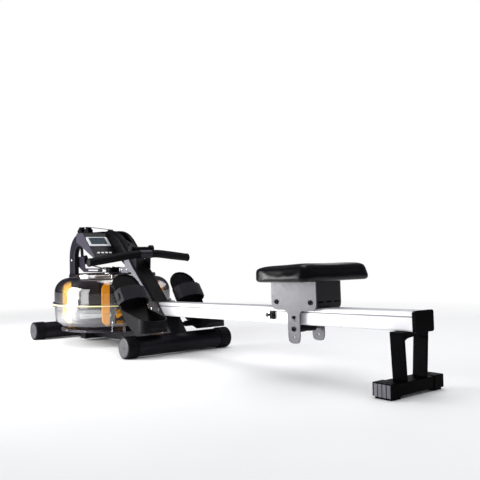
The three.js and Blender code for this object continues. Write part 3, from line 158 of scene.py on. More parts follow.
class Graph:
    """A node graph of one material."""

    BUMP_HEIGHT = 0.0006
    GRAINS = {Surface.POWDER: 900.0, Surface.MOULDED: 1400.0, Surface.RUBBER: 600.0, Surface.POLISHED: 40.0}
    WEAR_GRAIN = 85.0
    WEAR_BAND = (0.62, 0.8)
    MASK_EDGE = 0.0006

    def __init__(self, name: str) -> None:
        """Starts an empty material of that name."""
        self.material = bpy.data.materials.new(name)
        self.material.use_nodes = True
        self.tree = self.material.node_tree
        self.tree.nodes.clear()
        self.place = self.tree.nodes.new("ShaderNodeTexCoord").outputs["Object"]

    def node(self, kind: str) -> bpy.types.Node:
        """Adds a node of that kind."""
        return self.tree.nodes.new(kind)

    def link(self, source: Socket, target: Socket) -> None:
        """Links two sockets."""
        self.tree.links.new(source, target)

    def noise(self, scale: float, detail: float, rough: float, squeeze: Colour = (1, 1, 1)) -> Socket:
        """Adds a noise over the object's own coordinates.

        Args:
            scale: waves a metre.
            detail: number of finer layers.
            rough: strength of the finer layers.
            squeeze: scale along each axis.

        Returns:
            The noise value socket.
        """
        source = self.place
        if squeeze != (1, 1, 1):
            mapping = self.node("ShaderNodeMapping")
            mapping.inputs["Scale"].default_value = squeeze
            self.link(self.place, mapping.inputs["Vector"])
            source = mapping.outputs[0]
        noise = self.node("ShaderNodeTexNoise")
        noise.inputs["Scale"].default_value = scale
        noise.inputs["Detail"].default_value = detail
        noise.inputs["Roughness"].default_value = rough
        self.link(source, noise.inputs["Vector"])
        return noise.outputs[0]

    def ramp(self, value: Socket, stops: list[tuple[float, Colour]]) -> Socket:
        """Turns a value into a colour.

        Args:
            value: the value socket.
            stops: places from 0 to 1 and their colours.

        Returns:
            The colour socket.
        """
        ramp = self.node("ShaderNodeValToRGB")
        elements = ramp.color_ramp.elements
        for index, (place, colour) in enumerate(stops):
            element = elements[index] if index < 2 else elements.new(place)
            element.position = place
            element.color = (*colour, 1.0)
        self.link(value, ramp.inputs["Fac"])
        return ramp.outputs["Color"]

    def drift(self, first: Colour, second: Colour, scale: float) -> Socket:
        """Colour that drifts between two colours."""
        return self.ramp(self.noise(scale, 4.0, 0.55), [(0.35, first), (0.68, second)])

    def mix(self, share: Socket, first: Socket | Colour, second: Socket | Colour) -> Socket:
        """Mixes two colours.

        Args:
            share: socket that gives the share of the second colour.
            first: colour socket or plain colour.
            second: colour socket or plain colour.

        Returns:
            The colour socket.
        """
        mix = self.node("ShaderNodeMix")
        mix.data_type = "RGBA"
        self.link(share, mix.inputs[0])
        for value, socket in ((first, mix.inputs[6]), (second, mix.inputs[7])):
            if isinstance(value, tuple):
                socket.default_value = (*value, 1.0)
            else:
                self.link(value, socket)
        return mix.outputs[2]

    def worn(self, colour: Socket, base: Colour, share: float) -> Socket:
        """Adds pale rubbed spots to a colour."""
        pale = tuple(min(1.0, part * 1.6 + 0.012) for part in base)
        spots = self.ranged(self.noise(self.WEAR_GRAIN, 8.0, 0.7), (0.0, 1.0), self.WEAR_BAND)
        return self.mix(self.scaled(spots, share), colour, pale)

    def ranged(self, value: Socket, to: Band, source: Band = (0.3, 0.7)) -> Socket:
        """Maps a value from one range to another, held within it."""
        mapped = self.node("ShaderNodeMapRange")
        for socket, number in zip(mapped.inputs[1:5], (*source, *to)):
            socket.default_value = number
        self.link(value, mapped.inputs[0])
        return mapped.outputs[0]

    def scaled(self, value: Socket, share: float) -> Socket:
        """Multiplies a value by a share."""
        return self.ranged(value, (0.0, share), (0.0, 1.0))

    def uneven(self, band: Band, scale: float, detail: float = 6.0, rough: float = 0.6,
               squeeze: Colour = (1, 1, 1)) -> Socket:
        """A value that varies within a band, over a noise with the other arguments."""
        return self.ranged(self.noise(scale, detail, rough, squeeze), band)

    def mask(self, axis: int, low: float, high: float, turn: float = 0.0) -> Socket:
        """A mask that is 1 between two places along one object axis.

        Args:
            axis: 0, 1 or 2.
            low: start of the band.
            high: end of the band.
            turn: angle about Y by which the coordinates are turned first.

        Returns:
            The mask socket.
        """
        parts = self.node("ShaderNodeSeparateXYZ")
        source = self.place
        if turn:
            level = self.node("ShaderNodeMapping")
            level.inputs["Rotation"].default_value = (0.0, turn, 0.0)
            self.link(self.place, level.inputs["Vector"])
            source = level.outputs[0]
        self.link(source, parts.inputs[0])
        edge = self.MASK_EDGE
        rise = self.ranged(parts.outputs[axis], (0.0, 1.0), (low - edge, low + edge))
        fall = self.ranged(parts.outputs[axis], (1.0, 0.0), (high - edge, high + edge))
        return self.times(rise, fall)

    def times(self, first: Socket, second: Socket) -> Socket:
        """Multiplies two value sockets."""
        math_node = self.node("ShaderNodeMath")
        math_node.operation = "MULTIPLY"
        self.link(first, math_node.inputs[0])
        self.link(second, math_node.inputs[1])
        return math_node.outputs[0]

    def principled(self, colour: Socket, rough: Socket, metallic: float = 0.0,
                   shine: float = 0.5) -> bpy.types.Node:
        """Adds the main shader.

        Args:
            colour: colour socket.
            rough: roughness socket.
            metallic: share of metal.
            shine: strength of the mirror part.

        Returns:
            The shader node.
        """
        shader = self.node("ShaderNodeBsdfPrincipled")
        self.link(colour, shader.inputs["Base Color"])
        self.link(rough, shader.inputs["Roughness"])
        shader.inputs["Metallic"].default_value = metallic
        shader.inputs["Specular IOR Level"].default_value = shine
        return shader

    def blend(self, share: float | Socket, first: bpy.types.Node, second: bpy.types.Node) -> bpy.types.Node:
        """Mixes two shaders.

        Args:
            share: share of the second shader, a number or a socket.
            first: the first shader.
            second: the second shader.

        Returns:
            The mixed shader.
        """
        mix = self.node("ShaderNodeMixShader")
        if isinstance(share, float):
            mix.inputs[0].default_value = share
        else:
            self.link(share, mix.inputs[0])
        self.link(first.outputs[0], mix.inputs[1])
        self.link(second.outputs[0], mix.inputs[2])
        return mix

    def vector(self, operation: str, source: Socket, other: Colour = (0.0, 0.0, 0.0)) -> bpy.types.Node:
        """Adds a step of vector arithmetic.

        Args:
            operation: what it does.
            source: the vector socket.
            other: the second vector.

        Returns:
            The node.
        """
        step = self.node("ShaderNodeVectorMath")
        step.operation = operation
        step.inputs[1].default_value = other
        self.link(source, step.inputs[0])
        return step

    def facing(self) -> Socket:
        """How far the surface turns away, from 0 head-on to 1 along it."""
        facing = self.node("ShaderNodeLayerWeight")
        facing.inputs["Blend"].default_value = 0.5
        return facing.outputs["Facing"]

    def bump(self, shader: bpy.types.Node, surface: Surface, strength: float) -> None:
        """Gives a shader its surface texture.

        Args:
            shader: the main shader.
            surface: kind of surface.
            strength: strength of the bump.
        """
        if surface is Surface.WOVEN:
            wave = self.node("ShaderNodeTexWave")
            wave.wave_type = "BANDS"
            wave.bands_direction = "DIAGONAL"
            wave.inputs["Scale"].default_value = 260.0
            wave.inputs["Distortion"].default_value = 1.5
            self.link(self.place, wave.inputs["Vector"])
            height = wave.outputs[1]
        elif surface is Surface.BRUSHED:
            height = self.noise(30.0, 5.0, 0.6, (1.5, 40.0, 40.0))
        elif surface is Surface.VINYL:
            cells = self.node("ShaderNodeTexVoronoi")
            cells.inputs["Scale"].default_value = 380.0
            self.link(self.place, cells.inputs["Vector"])
            height = cells.outputs[0]
        else:
            height = self.noise(self.GRAINS[surface], 3.0, 0.55)
        bump = self.node("ShaderNodeBump")
        bump.inputs["Strength"].default_value = strength
        bump.inputs["Distance"].default_value = self.BUMP_HEIGHT
        self.link(height, bump.inputs["Height"])
        self.link(bump.outputs[0], shader.inputs["Normal"])

    def done(self, shader: bpy.types.Node) -> bpy.types.Material:
        """Links the last shader to the output and hands over the material."""
        self.link(shader.outputs[0], self.node("ShaderNodeOutputMaterial").inputs["Surface"])
        return self.material

    def textured(self, shader: bpy.types.Node, surface: Surface, strength: float) -> bpy.types.Material:
        """Ends the material with a shader that has a surface texture."""
        self.bump(shader, surface, strength)
        return self.done(shader)


SATIN_BLACK = Finish("satin black", (0.0042, 0.0036, 0.0060), (0.0068, 0.0060, 0.0092), (0.28, 0.42),
                     0.0, Surface.POWDER, 0.12, shine=0.14)
BLACK_PLASTIC = Finish("black plastic", (0.0028, 0.0026, 0.0033), (0.0046, 0.0043, 0.0054), (0.32, 0.48),
                       surface=Surface.MOULDED, bump=0.12, shine=0.05)
BLACK_RUBBER = Finish("black rubber", (0.0038, 0.0036, 0.0046), (0.0058, 0.0055, 0.0069), (0.42, 0.6),
                      surface=Surface.RUBBER, bump=0.16, shine=0.08)
# Painted shade: a darker copy of the black finishes, for the rear parts that face away from the lamps.
SHADED_BLACK = Finish("shaded black", (0.0016, 0.0015, 0.0019), (0.0028, 0.0026, 0.0033), (0.38, 0.52),
                    surface=Surface.POWDER, bump=0.08, shine=0.02, wear=0.05)
# Painted sheen: a paler, violet copy of the satin black, used for the arch to stand in for the lamp's sheen
# on its near face.
SHEEN_BLACK = Finish("black with painted sheen", (0.0070, 0.0062, 0.0100), (0.0105, 0.0094, 0.0145), (0.3, 0.44),
                      0.0, Surface.POWDER, 0.12, shine=0.14)
GLOSS_BLACK = Finish("gloss black", (0.0030, 0.0028, 0.0035), (0.0048, 0.0045, 0.0056), (0.24, 0.36),
                     surface=Surface.POLISHED, bump=0.012, shine=0.06, wear=0.03)
GREY_STEEL = Finish("grey steel", (0.135, 0.13, 0.153), (0.108, 0.103, 0.122), (0.32, 0.46), 0.15,
                    Surface.POWDER, 0.08, wear=0.08)
DARK_STEEL = Finish("dark steel", (0.015, 0.013, 0.02), (0.023, 0.02, 0.03), (0.3, 0.42), 0.2,
                    Surface.POWDER, 0.1, shine=0.35)
BRIGHT_STEEL = Finish("bright steel", (0.62, 0.62, 0.65), (0.5, 0.5, 0.53), (0.14, 0.28), 0.95,
                      Surface.BRUSHED, 0.05)
SILVER_PLASTIC = Finish("silver plastic", (0.58, 0.60, 0.63), (0.50, 0.52, 0.55), (0.28, 0.38), 0.2,
                        Surface.MOULDED, 0.06)
BLACK_VINYL = Finish("black vinyl", (0.0028, 0.0026, 0.0034), (0.0042, 0.0039, 0.0051), (0.27, 0.31),
                     surface=Surface.VINYL, bump=0.004, shine=0.2, wear=0.0)
WEBBING = Finish("strap webbing", (0.0085, 0.0080, 0.0112), (0.0135, 0.0127, 0.0170), (0.5, 0.7),
                 surface=Surface.WOVEN, bump=0.3, shine=0.15)
BELT = Finish("belt webbing", (0.012, 0.011, 0.014), (0.019, 0.017, 0.021), (0.5, 0.7),
              surface=Surface.WOVEN, bump=0.3, shine=0.3)
PALE_SEAL = Finish("pale seal", (0.86, 0.72, 0.30), (0.92, 0.82, 0.45), (0.25, 0.35),
                   surface=Surface.RUBBER, bump=0.06)
CAP_GREY = Finish("cap grey", (0.026, 0.0255, 0.030), (0.038, 0.037, 0.043), (0.32, 0.45),
                  surface=Surface.MOULDED, bump=0.1)
FOOT_GREY = Finish("foot plate grey", (0.115, 0.11, 0.13), (0.15, 0.145, 0.168), (0.32, 0.45),
                   surface=Surface.MOULDED, bump=0.1)
BUTTON_SILVER = Finish("button silver", (0.75, 0.75, 0.77), (0.66, 0.66, 0.68), (0.22, 0.32), 0.2,
                       Surface.MOULDED, 0.04)


class SpecialFinishes:
    """Finishes that change over one piece or let light through."""

    @staticmethod
    def rail(pitch: float, groove: Band) -> bpy.types.Material:
        """Gloss white rail with painted shade in the groove along each side.

        Args:
            pitch: angle by which the rail rises to its rear end.
            groove: lower and upper edge of the groove, measured square to the rail.

        Returns:
            The material.
        """
        graph = Graph("white rail")
        colour = graph.drift((0.90, 0.90, 0.92), (0.84, 0.84, 0.865), 6.0)
        worn = graph.worn(colour, (0.5, 0.5, 0.52), 0.1)
        # Painted shade: the band of the groove is painted dark grey where shade falls in it.
        worn = graph.mix(graph.mask(2, *groove, turn=pitch), worn, (0.16, 0.16, 0.18))
        rough = graph.uneven((0.16, 0.3), 60.0, 5.0, squeeze=(0.15, 1.0, 1.0))
        shader = graph.principled(worn, rough)
        shader.inputs["Coat Weight"].default_value = 0.4
        return graph.textured(shader, Surface.POLISHED, 0.03)

    @staticmethod
    def shell(name: str, tint: Colour, edge: Colour, least: float, band: Band) -> bpy.types.Material:
        """See-through tank plastic, clear head-on and dark where it is seen along the wall.

        Args:
            name: name of the material.
            tint: colour that light keeps when it goes through head-on.
            edge: colour that light keeps when it goes through along the wall.
            least: least share of light let through.
            band: where the tint turns to the edge tint, from 0 head-on to 1 along the wall.

        Returns:
            The material.
        """
        graph = Graph(name)
        streak = graph.noise(14.0, 5.0, 0.6, (1.0, 1.0, 0.25))
        mirror = graph.node("ShaderNodeBsdfAnisotropic")
        graph.link(graph.uneven((0.03, 0.08), 120.0), mirror.inputs["Roughness"])
        mirror.inputs["Color"].default_value = (0.95, 0.95, 0.97, 1.0)
        clear = graph.ramp(streak, [(0.3, tint), (0.75, tuple(0.94 * part for part in tint))])
        along = graph.ranged(graph.facing(), (0.0, 1.0), band)
        through = graph.node("ShaderNodeBsdfTransparent")
        graph.link(graph.mix(along, clear, edge), through.inputs["Color"])
        share = graph.ranged(graph.facing(), (0.94, least), (0.2, 0.95))
        graph.bump(mirror, Surface.POLISHED, 0.04)
        return graph.done(graph.blend(share, mirror, through))

    @staticmethod
    def impeller(centre: float, core: float, water: float) -> bpy.types.Material:
        """Amber blade ends; the inner part is painted near-black as painted shade and is clear below the
        water line; the amber carries a painted glow.

        Args:
            centre: place of the shaft along X.
            core: radius inside which the blades are painted near-black as painted shade.
            water: height of the water line.

        Returns:
            The material.
        """
        graph = Graph("impeller plastic")
        amber = graph.drift((0.96, 0.50, 0.008), (1.0, 0.60, 0.02), 14.0)
        away = graph.vector("SUBTRACT", graph.place, (centre, 0.0, 0.0))
        flat = graph.vector("MULTIPLY", away.outputs[0], (1.0, 1.0, 0.0))
        reach = graph.vector("LENGTH", flat.outputs[0]).outputs["Value"]
        outside = graph.ranged(reach, (0.0, 1.0), (core - 0.001, core + 0.001))
        # Painted shade: inside the core the blades are painted near-black for the dark inside of the tank.
        colour = graph.mix(outside, (0.012, 0.011, 0.012), amber)
        rough = graph.uneven((0.16, 0.28), 80.0)
        shader = graph.principled(colour, rough)
        # Painted glow: the blades give off light of their own to look brighter.
        graph.link(colour, shader.inputs["Emission Color"])
        shader.inputs["Emission Strength"].default_value = 0.32
        graph.bump(shader, Surface.POLISHED, 0.05)
        glow = graph.node("ShaderNodeBsdfTranslucent")
        graph.link(colour, glow.inputs["Color"])
        inside = graph.ranged(outside, (1.0, 0.0), (0.0, 1.0))
        clear = graph.node("ShaderNodeBsdfTransparent")
        hidden = graph.times(inside, graph.mask(2, -FAR, water))
        return graph.done(graph.blend(hidden, graph.blend(0.35, shader, glow), clear))

    @staticmethod
    def water() -> bpy.types.Material:
        """Body of water with a faint warm tone."""
        graph = Graph("tank water")
        through = graph.node("ShaderNodeBsdfTransparent")
        tone = graph.drift((0.97, 0.975, 0.97), (0.94, 0.95, 0.945), 11.0)
        graph.link(tone, through.inputs["Color"])
        mirror = graph.node("ShaderNodeBsdfAnisotropic")
        graph.link(graph.uneven((0.03, 0.08), 30.0, 4.0, 0.5), mirror.inputs["Roughness"])
        graph.bump(mirror, Surface.POLISHED, 0.3)
        share = graph.ranged(graph.facing(), (0.98, 0.45), (0.5, 0.98))
        return graph.done(graph.blend(share, mirror, through))

    @staticmethod
    def carriage(rear_from: float, half: float) -> bpy.types.Material:
        """Grey seat carriage plates with a black rear web.

        Args:
            rear_from: place along X where the black web starts.
            half: place along Y up to which the web reaches on both sides.

        Returns:
            The material.
        """
        graph = Graph("seat carriage steel")
        grey = graph.drift((0.088, 0.084, 0.099), (0.07, 0.067, 0.08), 9.0)
        worn = graph.worn(grey, (0.1, 0.097, 0.11), 0.08)
        inside = graph.mask(1, -half, half)
        rear = graph.times(graph.mask(0, rear_from, FAR), inside)
        colour = graph.mix(rear, worn, (0.004, 0.0037, 0.0048))
        shader = graph.principled(colour, graph.uneven((0.3, 0.44), 70.0), 0.12)
        return graph.textured(shader, Surface.POWDER, 0.08)

    @staticmethod
    def console(side: float) -> bpy.types.Material:
        """Console housing whose near end face carries a painted highlight: it is painted grey where the
        near-side lamp lights it.

        Args:
            side: place along Y up to which the face is painted grey as a painted highlight.

        Returns:
            The material.
        """
        graph = Graph("console plastic")
        black = graph.drift((0.0032, 0.003, 0.0038), (0.0052, 0.0049, 0.0061), 9.0)
        # Painted highlight: the near end face is painted grey for the near-side lamp's light on it.
        colour = graph.mix(graph.mask(1, -FAR, side), black, (0.034, 0.031, 0.043))
        shader = graph.principled(colour, graph.uneven((0.3, 0.44), 90.0), shine=0.16)
        return graph.textured(shader, Surface.MOULDED, 0.12)

    @staticmethod
    def display() -> bpy.types.Material:
        """Dark blue-grey display behind clear plastic."""
        graph = Graph("display")
        colour = graph.drift((0.014, 0.027, 0.040), (0.02, 0.036, 0.052), 22.0)
        shader = graph.principled(colour, graph.uneven((0.2, 0.3), 200.0, 3.0, 0.5), shine=0.1)
        return graph.textured(shader, Surface.POLISHED, 0.02)

    @staticmethod
    def floor(near: float, far: float) -> bpy.types.Material:
        """Pale matt floor that runs out to plain white for the camera.

        Args:
            near: distance from the middle where it starts to turn white.
            far: distance where it is all white.

        Returns:
            The material.
        """
        graph = Graph("pale floor")
        colour = graph.drift((0.88, 0.88, 0.88), (0.86, 0.86, 0.865), 1.2)
        matt = graph.principled(colour, graph.uneven((0.55, 0.7), 4.0, 4.0, 0.5), shine=0.1)
        white = graph.node("ShaderNodeEmission")
        white.inputs["Color"].default_value = (1.0, 1.0, 1.0, 1.0)
        reach = graph.vector("LENGTH", graph.place).outputs["Value"]
        out = graph.ranged(reach, (0.0, 1.0), (near, far))
        paths = graph.node("ShaderNodeLightPath")
        share = graph.times(out, paths.outputs["Is Camera Ray"])
        return graph.done(graph.blend(share, matt, white))


@dataclass(frozen=True)
class Place:
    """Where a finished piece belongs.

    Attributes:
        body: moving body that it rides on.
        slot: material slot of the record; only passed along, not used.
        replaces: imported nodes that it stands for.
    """

    body: str
    slot: str
    replaces: tuple[str, ...] = ()


class Bench:
    """Modelling steps on one object at a time."""

    @staticmethod
    def alone(piece: bpy.types.Object) -> None:
        """Makes the piece the only selected and active one."""
        if bpy.context.object is not None and bpy.context.object.mode != "OBJECT":
            bpy.ops.object.mode_set(mode="OBJECT")
        bpy.ops.object.select_all(action="DESELECT")
        piece.select_set(True)
        bpy.context.view_layer.objects.active = piece

    @classmethod
    def edit(cls, piece: bpy.types.Object, kind: str = "VERT", all_on: bool = True) -> None:
        """Opens the piece in edit mode.

        Args:
            piece: the object.
            kind: VERT, EDGE or FACE selection.
            all_on: True to select everything, False for nothing.
        """
        cls.alone(piece)
        bpy.ops.object.mode_set(mode="EDIT")
        bpy.ops.mesh.select_mode(type=kind)
        bpy.ops.mesh.select_all(action="SELECT" if all_on else "DESELECT")

    @staticmethod
    def close() -> None:
        """Leaves edit mode."""
        bpy.ops.object.mode_set(mode="OBJECT")

    @classmethod
    def faces(cls, piece: bpy.types.Object, wanted: Callable[[Vector, Vector], bool]) -> None:
        """Opens edit mode with the faces selected that a test on centre and normal wants."""
        cls.edit(piece, "FACE", False)
        cls.close()
        for face in piece.data.polygons:
            face.select = bool(wanted(face.center, face.normal))
        bpy.ops.object.mode_set(mode="EDIT")

    @classmethod
    def point(cls, name: str, at: Vector) -> bpy.types.Object:
        """Starts a piece from a plane merged to one corner.

        Args:
            name: name of the piece.
            at: place of the corner.

        Returns:
            The object, in edit mode with its corner selected.
        """
        bpy.ops.mesh.primitive_plane_add(size=0.01, location=(0, 0, 0))
        piece = bpy.context.object
        piece.name = piece.data.name = name
        cls.edit(piece)
        bpy.ops.mesh.merge(type="CENTER")
        bpy.ops.transform.translate(value=at)
        return piece

    @classmethod
    def path(cls, name: str, points: list[Vector]) -> bpy.types.Object:
        """Draws a line of edges through the points, left in edit mode."""
        piece = cls.point(name, points[0])
        for before, after in zip(points, points[1:]):
            bpy.ops.mesh.extrude_region_move(TRANSFORM_OT_translate={"value": after - before})
        bpy.ops.mesh.select_all(action="SELECT")
        return piece

    @classmethod
    def turned(cls, name: str, profile: Points, centre: Vector, axis: Axis, steps: int,
               angle: float | None = None) -> bpy.types.Object:
        """Spins a profile about an axis.

        Args:
            name: name of the piece.
            profile: radius and place along the axis of each point.
            centre: point on the axis that the places are measured from.
            axis: the axis.
            steps: number of sides.
            angle: edges flatter than this are shaded smooth, None to leave them for later.

        Returns:
            The turned object.
        """
        points = [centre + axis.across * radius + axis.along * height for radius, height in profile]
        piece = cls.path(name, points)
        bpy.ops.mesh.spin(steps=steps, angle=math.tau, center=centre, axis=axis.along)
        cls.clean()
        if angle is not None:
            cls.smooth(piece, angle)
        return piece

    @classmethod
    def clean(cls) -> None:
        """Merges doubled corners, turns the faces outward and leaves edit mode."""
        bpy.ops.mesh.select_all(action="SELECT")
        bpy.ops.mesh.remove_doubles(threshold=MERGE_MADE)
        bpy.ops.mesh.normals_make_consistent(inside=False)
        cls.close()

    @classmethod
    def slab(cls, name: str, outline: list[Vector], rise: Vector) -> bpy.types.Object:
        """Fills an outline and draws it out along a direction.

        Args:
            name: name of the piece.
            outline: corners in order.
            rise: direction and thickness.

        Returns:
            The slab.
        """
        piece = cls.path(name, outline)
        bpy.ops.mesh.edge_face_add()
        bpy.ops.mesh.extrude_region_move(TRANSFORM_OT_translate={"value": rise})
        cls.clean()
        return piece

    @classmethod
    def apply(cls, piece: bpy.types.Object, modifier: bpy.types.Modifier) -> None:
        """Applies a modifier of the piece."""
        cls.alone(piece)
        bpy.ops.object.modifier_apply(modifier=modifier.name)

    @classmethod
    def bevel(cls, piece: bpy.types.Object, width: float, steps: int = 2, angle: float = 30.0) -> None:
        """Rounds the edges sharper than an angle with an applied bevel."""
        bevel = piece.modifiers.new("edge", "BEVEL")
        bevel.width = width
        bevel.segments = steps
        bevel.limit_method = "ANGLE"
        bevel.angle_limit = math.radians(angle)
        bevel.use_clamp_overlap = True
        cls.apply(piece, bevel)

    @classmethod
    def smooth(cls, piece: bpy.types.Object, angle: float = 35.0) -> None:
        """Shades the piece smooth across edges flatter than an angle."""
        cls.alone(piece)
        bpy.ops.object.shade_smooth_by_angle(angle=math.radians(angle))
        weighted = piece.modifiers.new("flat faces", "WEIGHTED_NORMAL")
        weighted.keep_sharp = True
        weighted.weight = 80
        cls.apply(piece, weighted)

    @classmethod
    def join(cls, first: bpy.types.Object, *others: bpy.types.Object) -> bpy.types.Object:
        """Joins pieces into the first one."""
        cls.alone(first)
        for other in others:
            other.select_set(True)
        bpy.ops.object.join()
        return first

    @staticmethod
    def copy(source: bpy.types.Object, name: str) -> bpy.types.Object:
        """Copies a piece with its own mesh."""
        twin = bpy.data.objects.new(name, source.data.copy())
        twin.data.name = name
        bpy.context.scene.collection.objects.link(twin)
        return twin

    @staticmethod
    def box(piece: bpy.types.Object) -> tuple[Vector, Vector]:
        """The lowest and highest corner of a made piece."""
        spots = [vertex.co for vertex in piece.data.vertices]
        low = Vector([min(spot[axis] for spot in spots) for axis in range(3)])
        high = Vector([max(spot[axis] for spot in spots) for axis in range(3)])
        return low, high

    @staticmethod
    def bent(piece: bpy.types.Object, shift: Callable[[Vector], Vector]) -> None:
        """Shifts every corner of a piece by what a rule says for its place."""
        for vertex in piece.data.vertices:
            vertex.co += shift(vertex.co)
        piece.data.update()

    @classmethod
    def mirrored(cls, source: bpy.types.Object, name: str) -> bpy.types.Object:
        """Copies a piece to the other side of the machine."""
        twin = cls.copy(source, name)
        twin.data.transform(Matrix.Scale(-1.0, 4, Vector((0, 1, 0))))
        cls.edit(twin)
        bpy.ops.mesh.flip_normals()
        cls.close()
        return twin

    @classmethod
    def dress(cls, piece: bpy.types.Object, finish: Finish | bpy.types.Material,
              place: Place) -> bpy.types.Object:
        """Gives a piece its finish and its place on the machine.

        Args:
            piece: the finished object.
            finish: its finish.
            place: where it belongs.

        Returns:
            The piece.
        """
        material = finish.make() if isinstance(finish, Finish) else finish
        piece.data.materials.clear()
        piece.data.materials.append(material)
        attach(piece, place.body)
        if place.replaces:
            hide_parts(*place.replaces)
        LOG.info("%s: %d faces, %s", piece.name, len(piece.data.polygons), material.name)
        return piece


@dataclass(frozen=True)
class Workshop:
    """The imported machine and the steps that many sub-assemblies share.

    Attributes:
        nodes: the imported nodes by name.
    """

    nodes: dict[str, bpy.types.Object]

    def solid(self, node: str, name: str) -> bpy.types.Object:
        """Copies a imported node's mesh under a new name, with its doubled corners merged."""
        source = self.nodes[node]
        piece = Bench.copy(source, name)
        piece.data.transform(source.matrix_world)
        Bench.edit(piece)
        bpy.ops.mesh.remove_doubles(threshold=MERGE)
        Bench.close()
        return piece

    def refined(self, node: str, edge: float = 0.0012, steps: int = 2,
                angle: float = 32.0) -> bpy.types.Object:
        """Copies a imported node's mesh and rounds its edges.

        Args:
            node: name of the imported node.
            edge: width of the rounding.
            steps: steps of the rounding.
            angle: least angle of an edge that is rounded.

        Returns:
            The new object.
        """
        piece = self.solid(node, node + ".made")
        Bench.edit(piece)
        bpy.ops.mesh.dissolve_limited(angle_limit=FLAT)
        Bench.close()
        if edge > 0:
            Bench.bevel(piece, edge, steps, angle)
        Bench.smooth(piece)
        return piece

    def dressed(self, node: str, finish: Finish | bpy.types.Material, place: Place,
                edge: float = 0.0012, steps: int = 2, angle: float = 32.0) -> bpy.types.Object:
        """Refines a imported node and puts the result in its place."""
        piece = self.refined(node, edge, steps, angle)
        return Bench.dress(piece, finish, Place(place.body, place.slot, (node,)))

    @staticmethod
    def wheel(node: str, finish: Finish, place: Place, rule: Callable[[float, float], Points], steps: int,
              angle: float) -> None:
        """Turns a wheel about Y in the place of a packed one.

        Args:
            node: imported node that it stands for.
            finish: finish of the wheel.
            place: body and slot.
            rule: gives the near half of the profile from the outer radius and the half width.
            steps: number of sides.
            angle: edges flatter than this are shaded smooth.
        """
        low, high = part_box(node)
        profile = rule((high.x - low.x) / 2, (high.y - low.y) / 2)
        profile += [(radius, -side) for radius, side in reversed(profile)]
        profile.append(profile[0])
        wheel = Bench.turned(node + ".made", profile, (low + high) / 2, Axis.Y, steps, angle)
        Bench.dress(wheel, finish, Place(place.body, place.slot, (node,)))


@dataclass(frozen=True)
class FloorTubeSizes:
    """Sizes of the two round floor tubes and their fluted caps.

    Attributes:
        front_x: place of the front tube along X.
        middle_x: place of the middle tube along X.
        radius: outer radius of a tube.
        half: half the length of a tube.
        height: height of the tubes' axis.
        cap_radius: outer radius of a cap.
        cap_start: where a cap starts, from the middle of the machine.
        cap_end: where it ends.
        face_radius: radius of its end face.
        ribs: number of flutes.
        rib_depth: depth of a flute.
        rib_half: half the length of a flute.
    """

    front_x: float = -1.012
    middle_x: float = -0.136
    radius: float = 0.0395
    half: float = 0.2467
    height: float = 0.043
    cap_radius: float = 0.043
    cap_start: float = 0.198
    cap_end: float = 0.250
    face_radius: float = 0.0375
    ribs: int = 24
    rib_depth: float = 0.0016
    rib_half: float = 0.012


@dataclass(frozen=True)
class FloorTubes:
    """The front and middle floor tubes with rubber end caps."""

    sizes: FloorTubeSizes = FloorTubeSizes()

    def _cap(self, name: str, x: float) -> bpy.types.Object:
        """Makes the near cap of one tube, with flutes pressed into its side.

        Args:
            name: name of the cap.
            x: place of the tube.

        Returns:
            The cap.
        """
        s = self.sizes
        centre = Vector((x, 0, s.height))
        inner = s.radius + 0.0002
        start, end, outer = -s.cap_start, -s.cap_end, s.cap_radius
        profile = [(0, start - 0.02), (inner, start - 0.02), (inner, start), (outer - 0.0008, start),
                   (outer, start - 0.001), (outer, start - 0.008), (outer, end + 0.008),
                   (outer - 0.0005, end + 0.0025), (outer - 0.0025, end + 0.0004), (s.face_radius, end),
                   (s.face_radius - 0.0008, end + 0.0012), (0, end + 0.0012)]
        cap = Bench.turned(name, profile, centre, Axis.Y, s.ribs * 4)
        middle = (start + end) / 2

        def groove(spot: Vector, normal: Vector) -> bool:
            """Picks two of every four faces along the side."""
            away = spot - centre
            if abs(spot.y - middle) > s.rib_half or math.hypot(away.x, away.z) < s.radius + 0.001:
                return False
            turn = math.atan2(away.z, away.x) / math.tau * s.ribs * 4
            return math.floor(turn + 1e-4) % 4 < 2

        Bench.faces(cap, groove)
        bpy.ops.mesh.inset(thickness=0.0006, depth=-s.rib_depth, use_even_offset=True)
        Bench.clean()
        Bench.smooth(cap, 30.0)
        return cap

    def _face(self, name: str, x: float) -> bpy.types.Object:
        """Makes the grey plate in the end of a cap, with a dot at its middle."""
        s = self.sizes
        end, rim = -s.cap_end, s.face_radius
        profile = [(0, end + 0.001), (rim - 0.0012, end + 0.001), (rim - 0.0012, end - 0.0002),
                   (rim - 0.003, end - 0.0008), (rim - 0.0055, end - 0.0002), (0.0055, end - 0.0002),
                   (0.005, end - 0.0014), (0.0035, end - 0.002), (0, end - 0.002)]
        return Bench.turned(name, profile, Vector((x, 0, s.height)), Axis.Y, 64, 30.0)

    def build(self) -> None:
        """Builds both tubes."""
        s = self.sizes
        for label, x in (("front", s.front_x), ("middle", s.middle_x)):
            profile = [(0, -s.half), (s.radius - 0.001, -s.half), (s.radius, -s.half + 0.001),
                       (s.radius, s.half - 0.001), (s.radius - 0.001, s.half), (0, s.half)]
            tube = Bench.turned(f"{label}_floor_tube", profile, Vector((x, 0, s.height)), Axis.Y, 72, 30.0)
            Bench.dress(tube, SATIN_BLACK, Place("frame", "satin_black", (f"{label}_foot_tube",)))
            cap = self._cap(f"{label}_cap_near", x)
            twin = Bench.mirrored(cap, f"{label}_cap_far")
            face = self._face(f"{label}_cap_plate_near", x)
            other = Bench.mirrored(face, f"{label}_cap_plate_far")
            for side, piece in (("near", cap), ("far", twin)):
                place = Place("frame", "black_rubber", (f"{label}_foot_cap_{side}",))
                Bench.dress(piece, BLACK_RUBBER, place)
            for piece in (face, other):
                Bench.dress(piece, CAP_GREY, Place("frame", "grey_steel"))


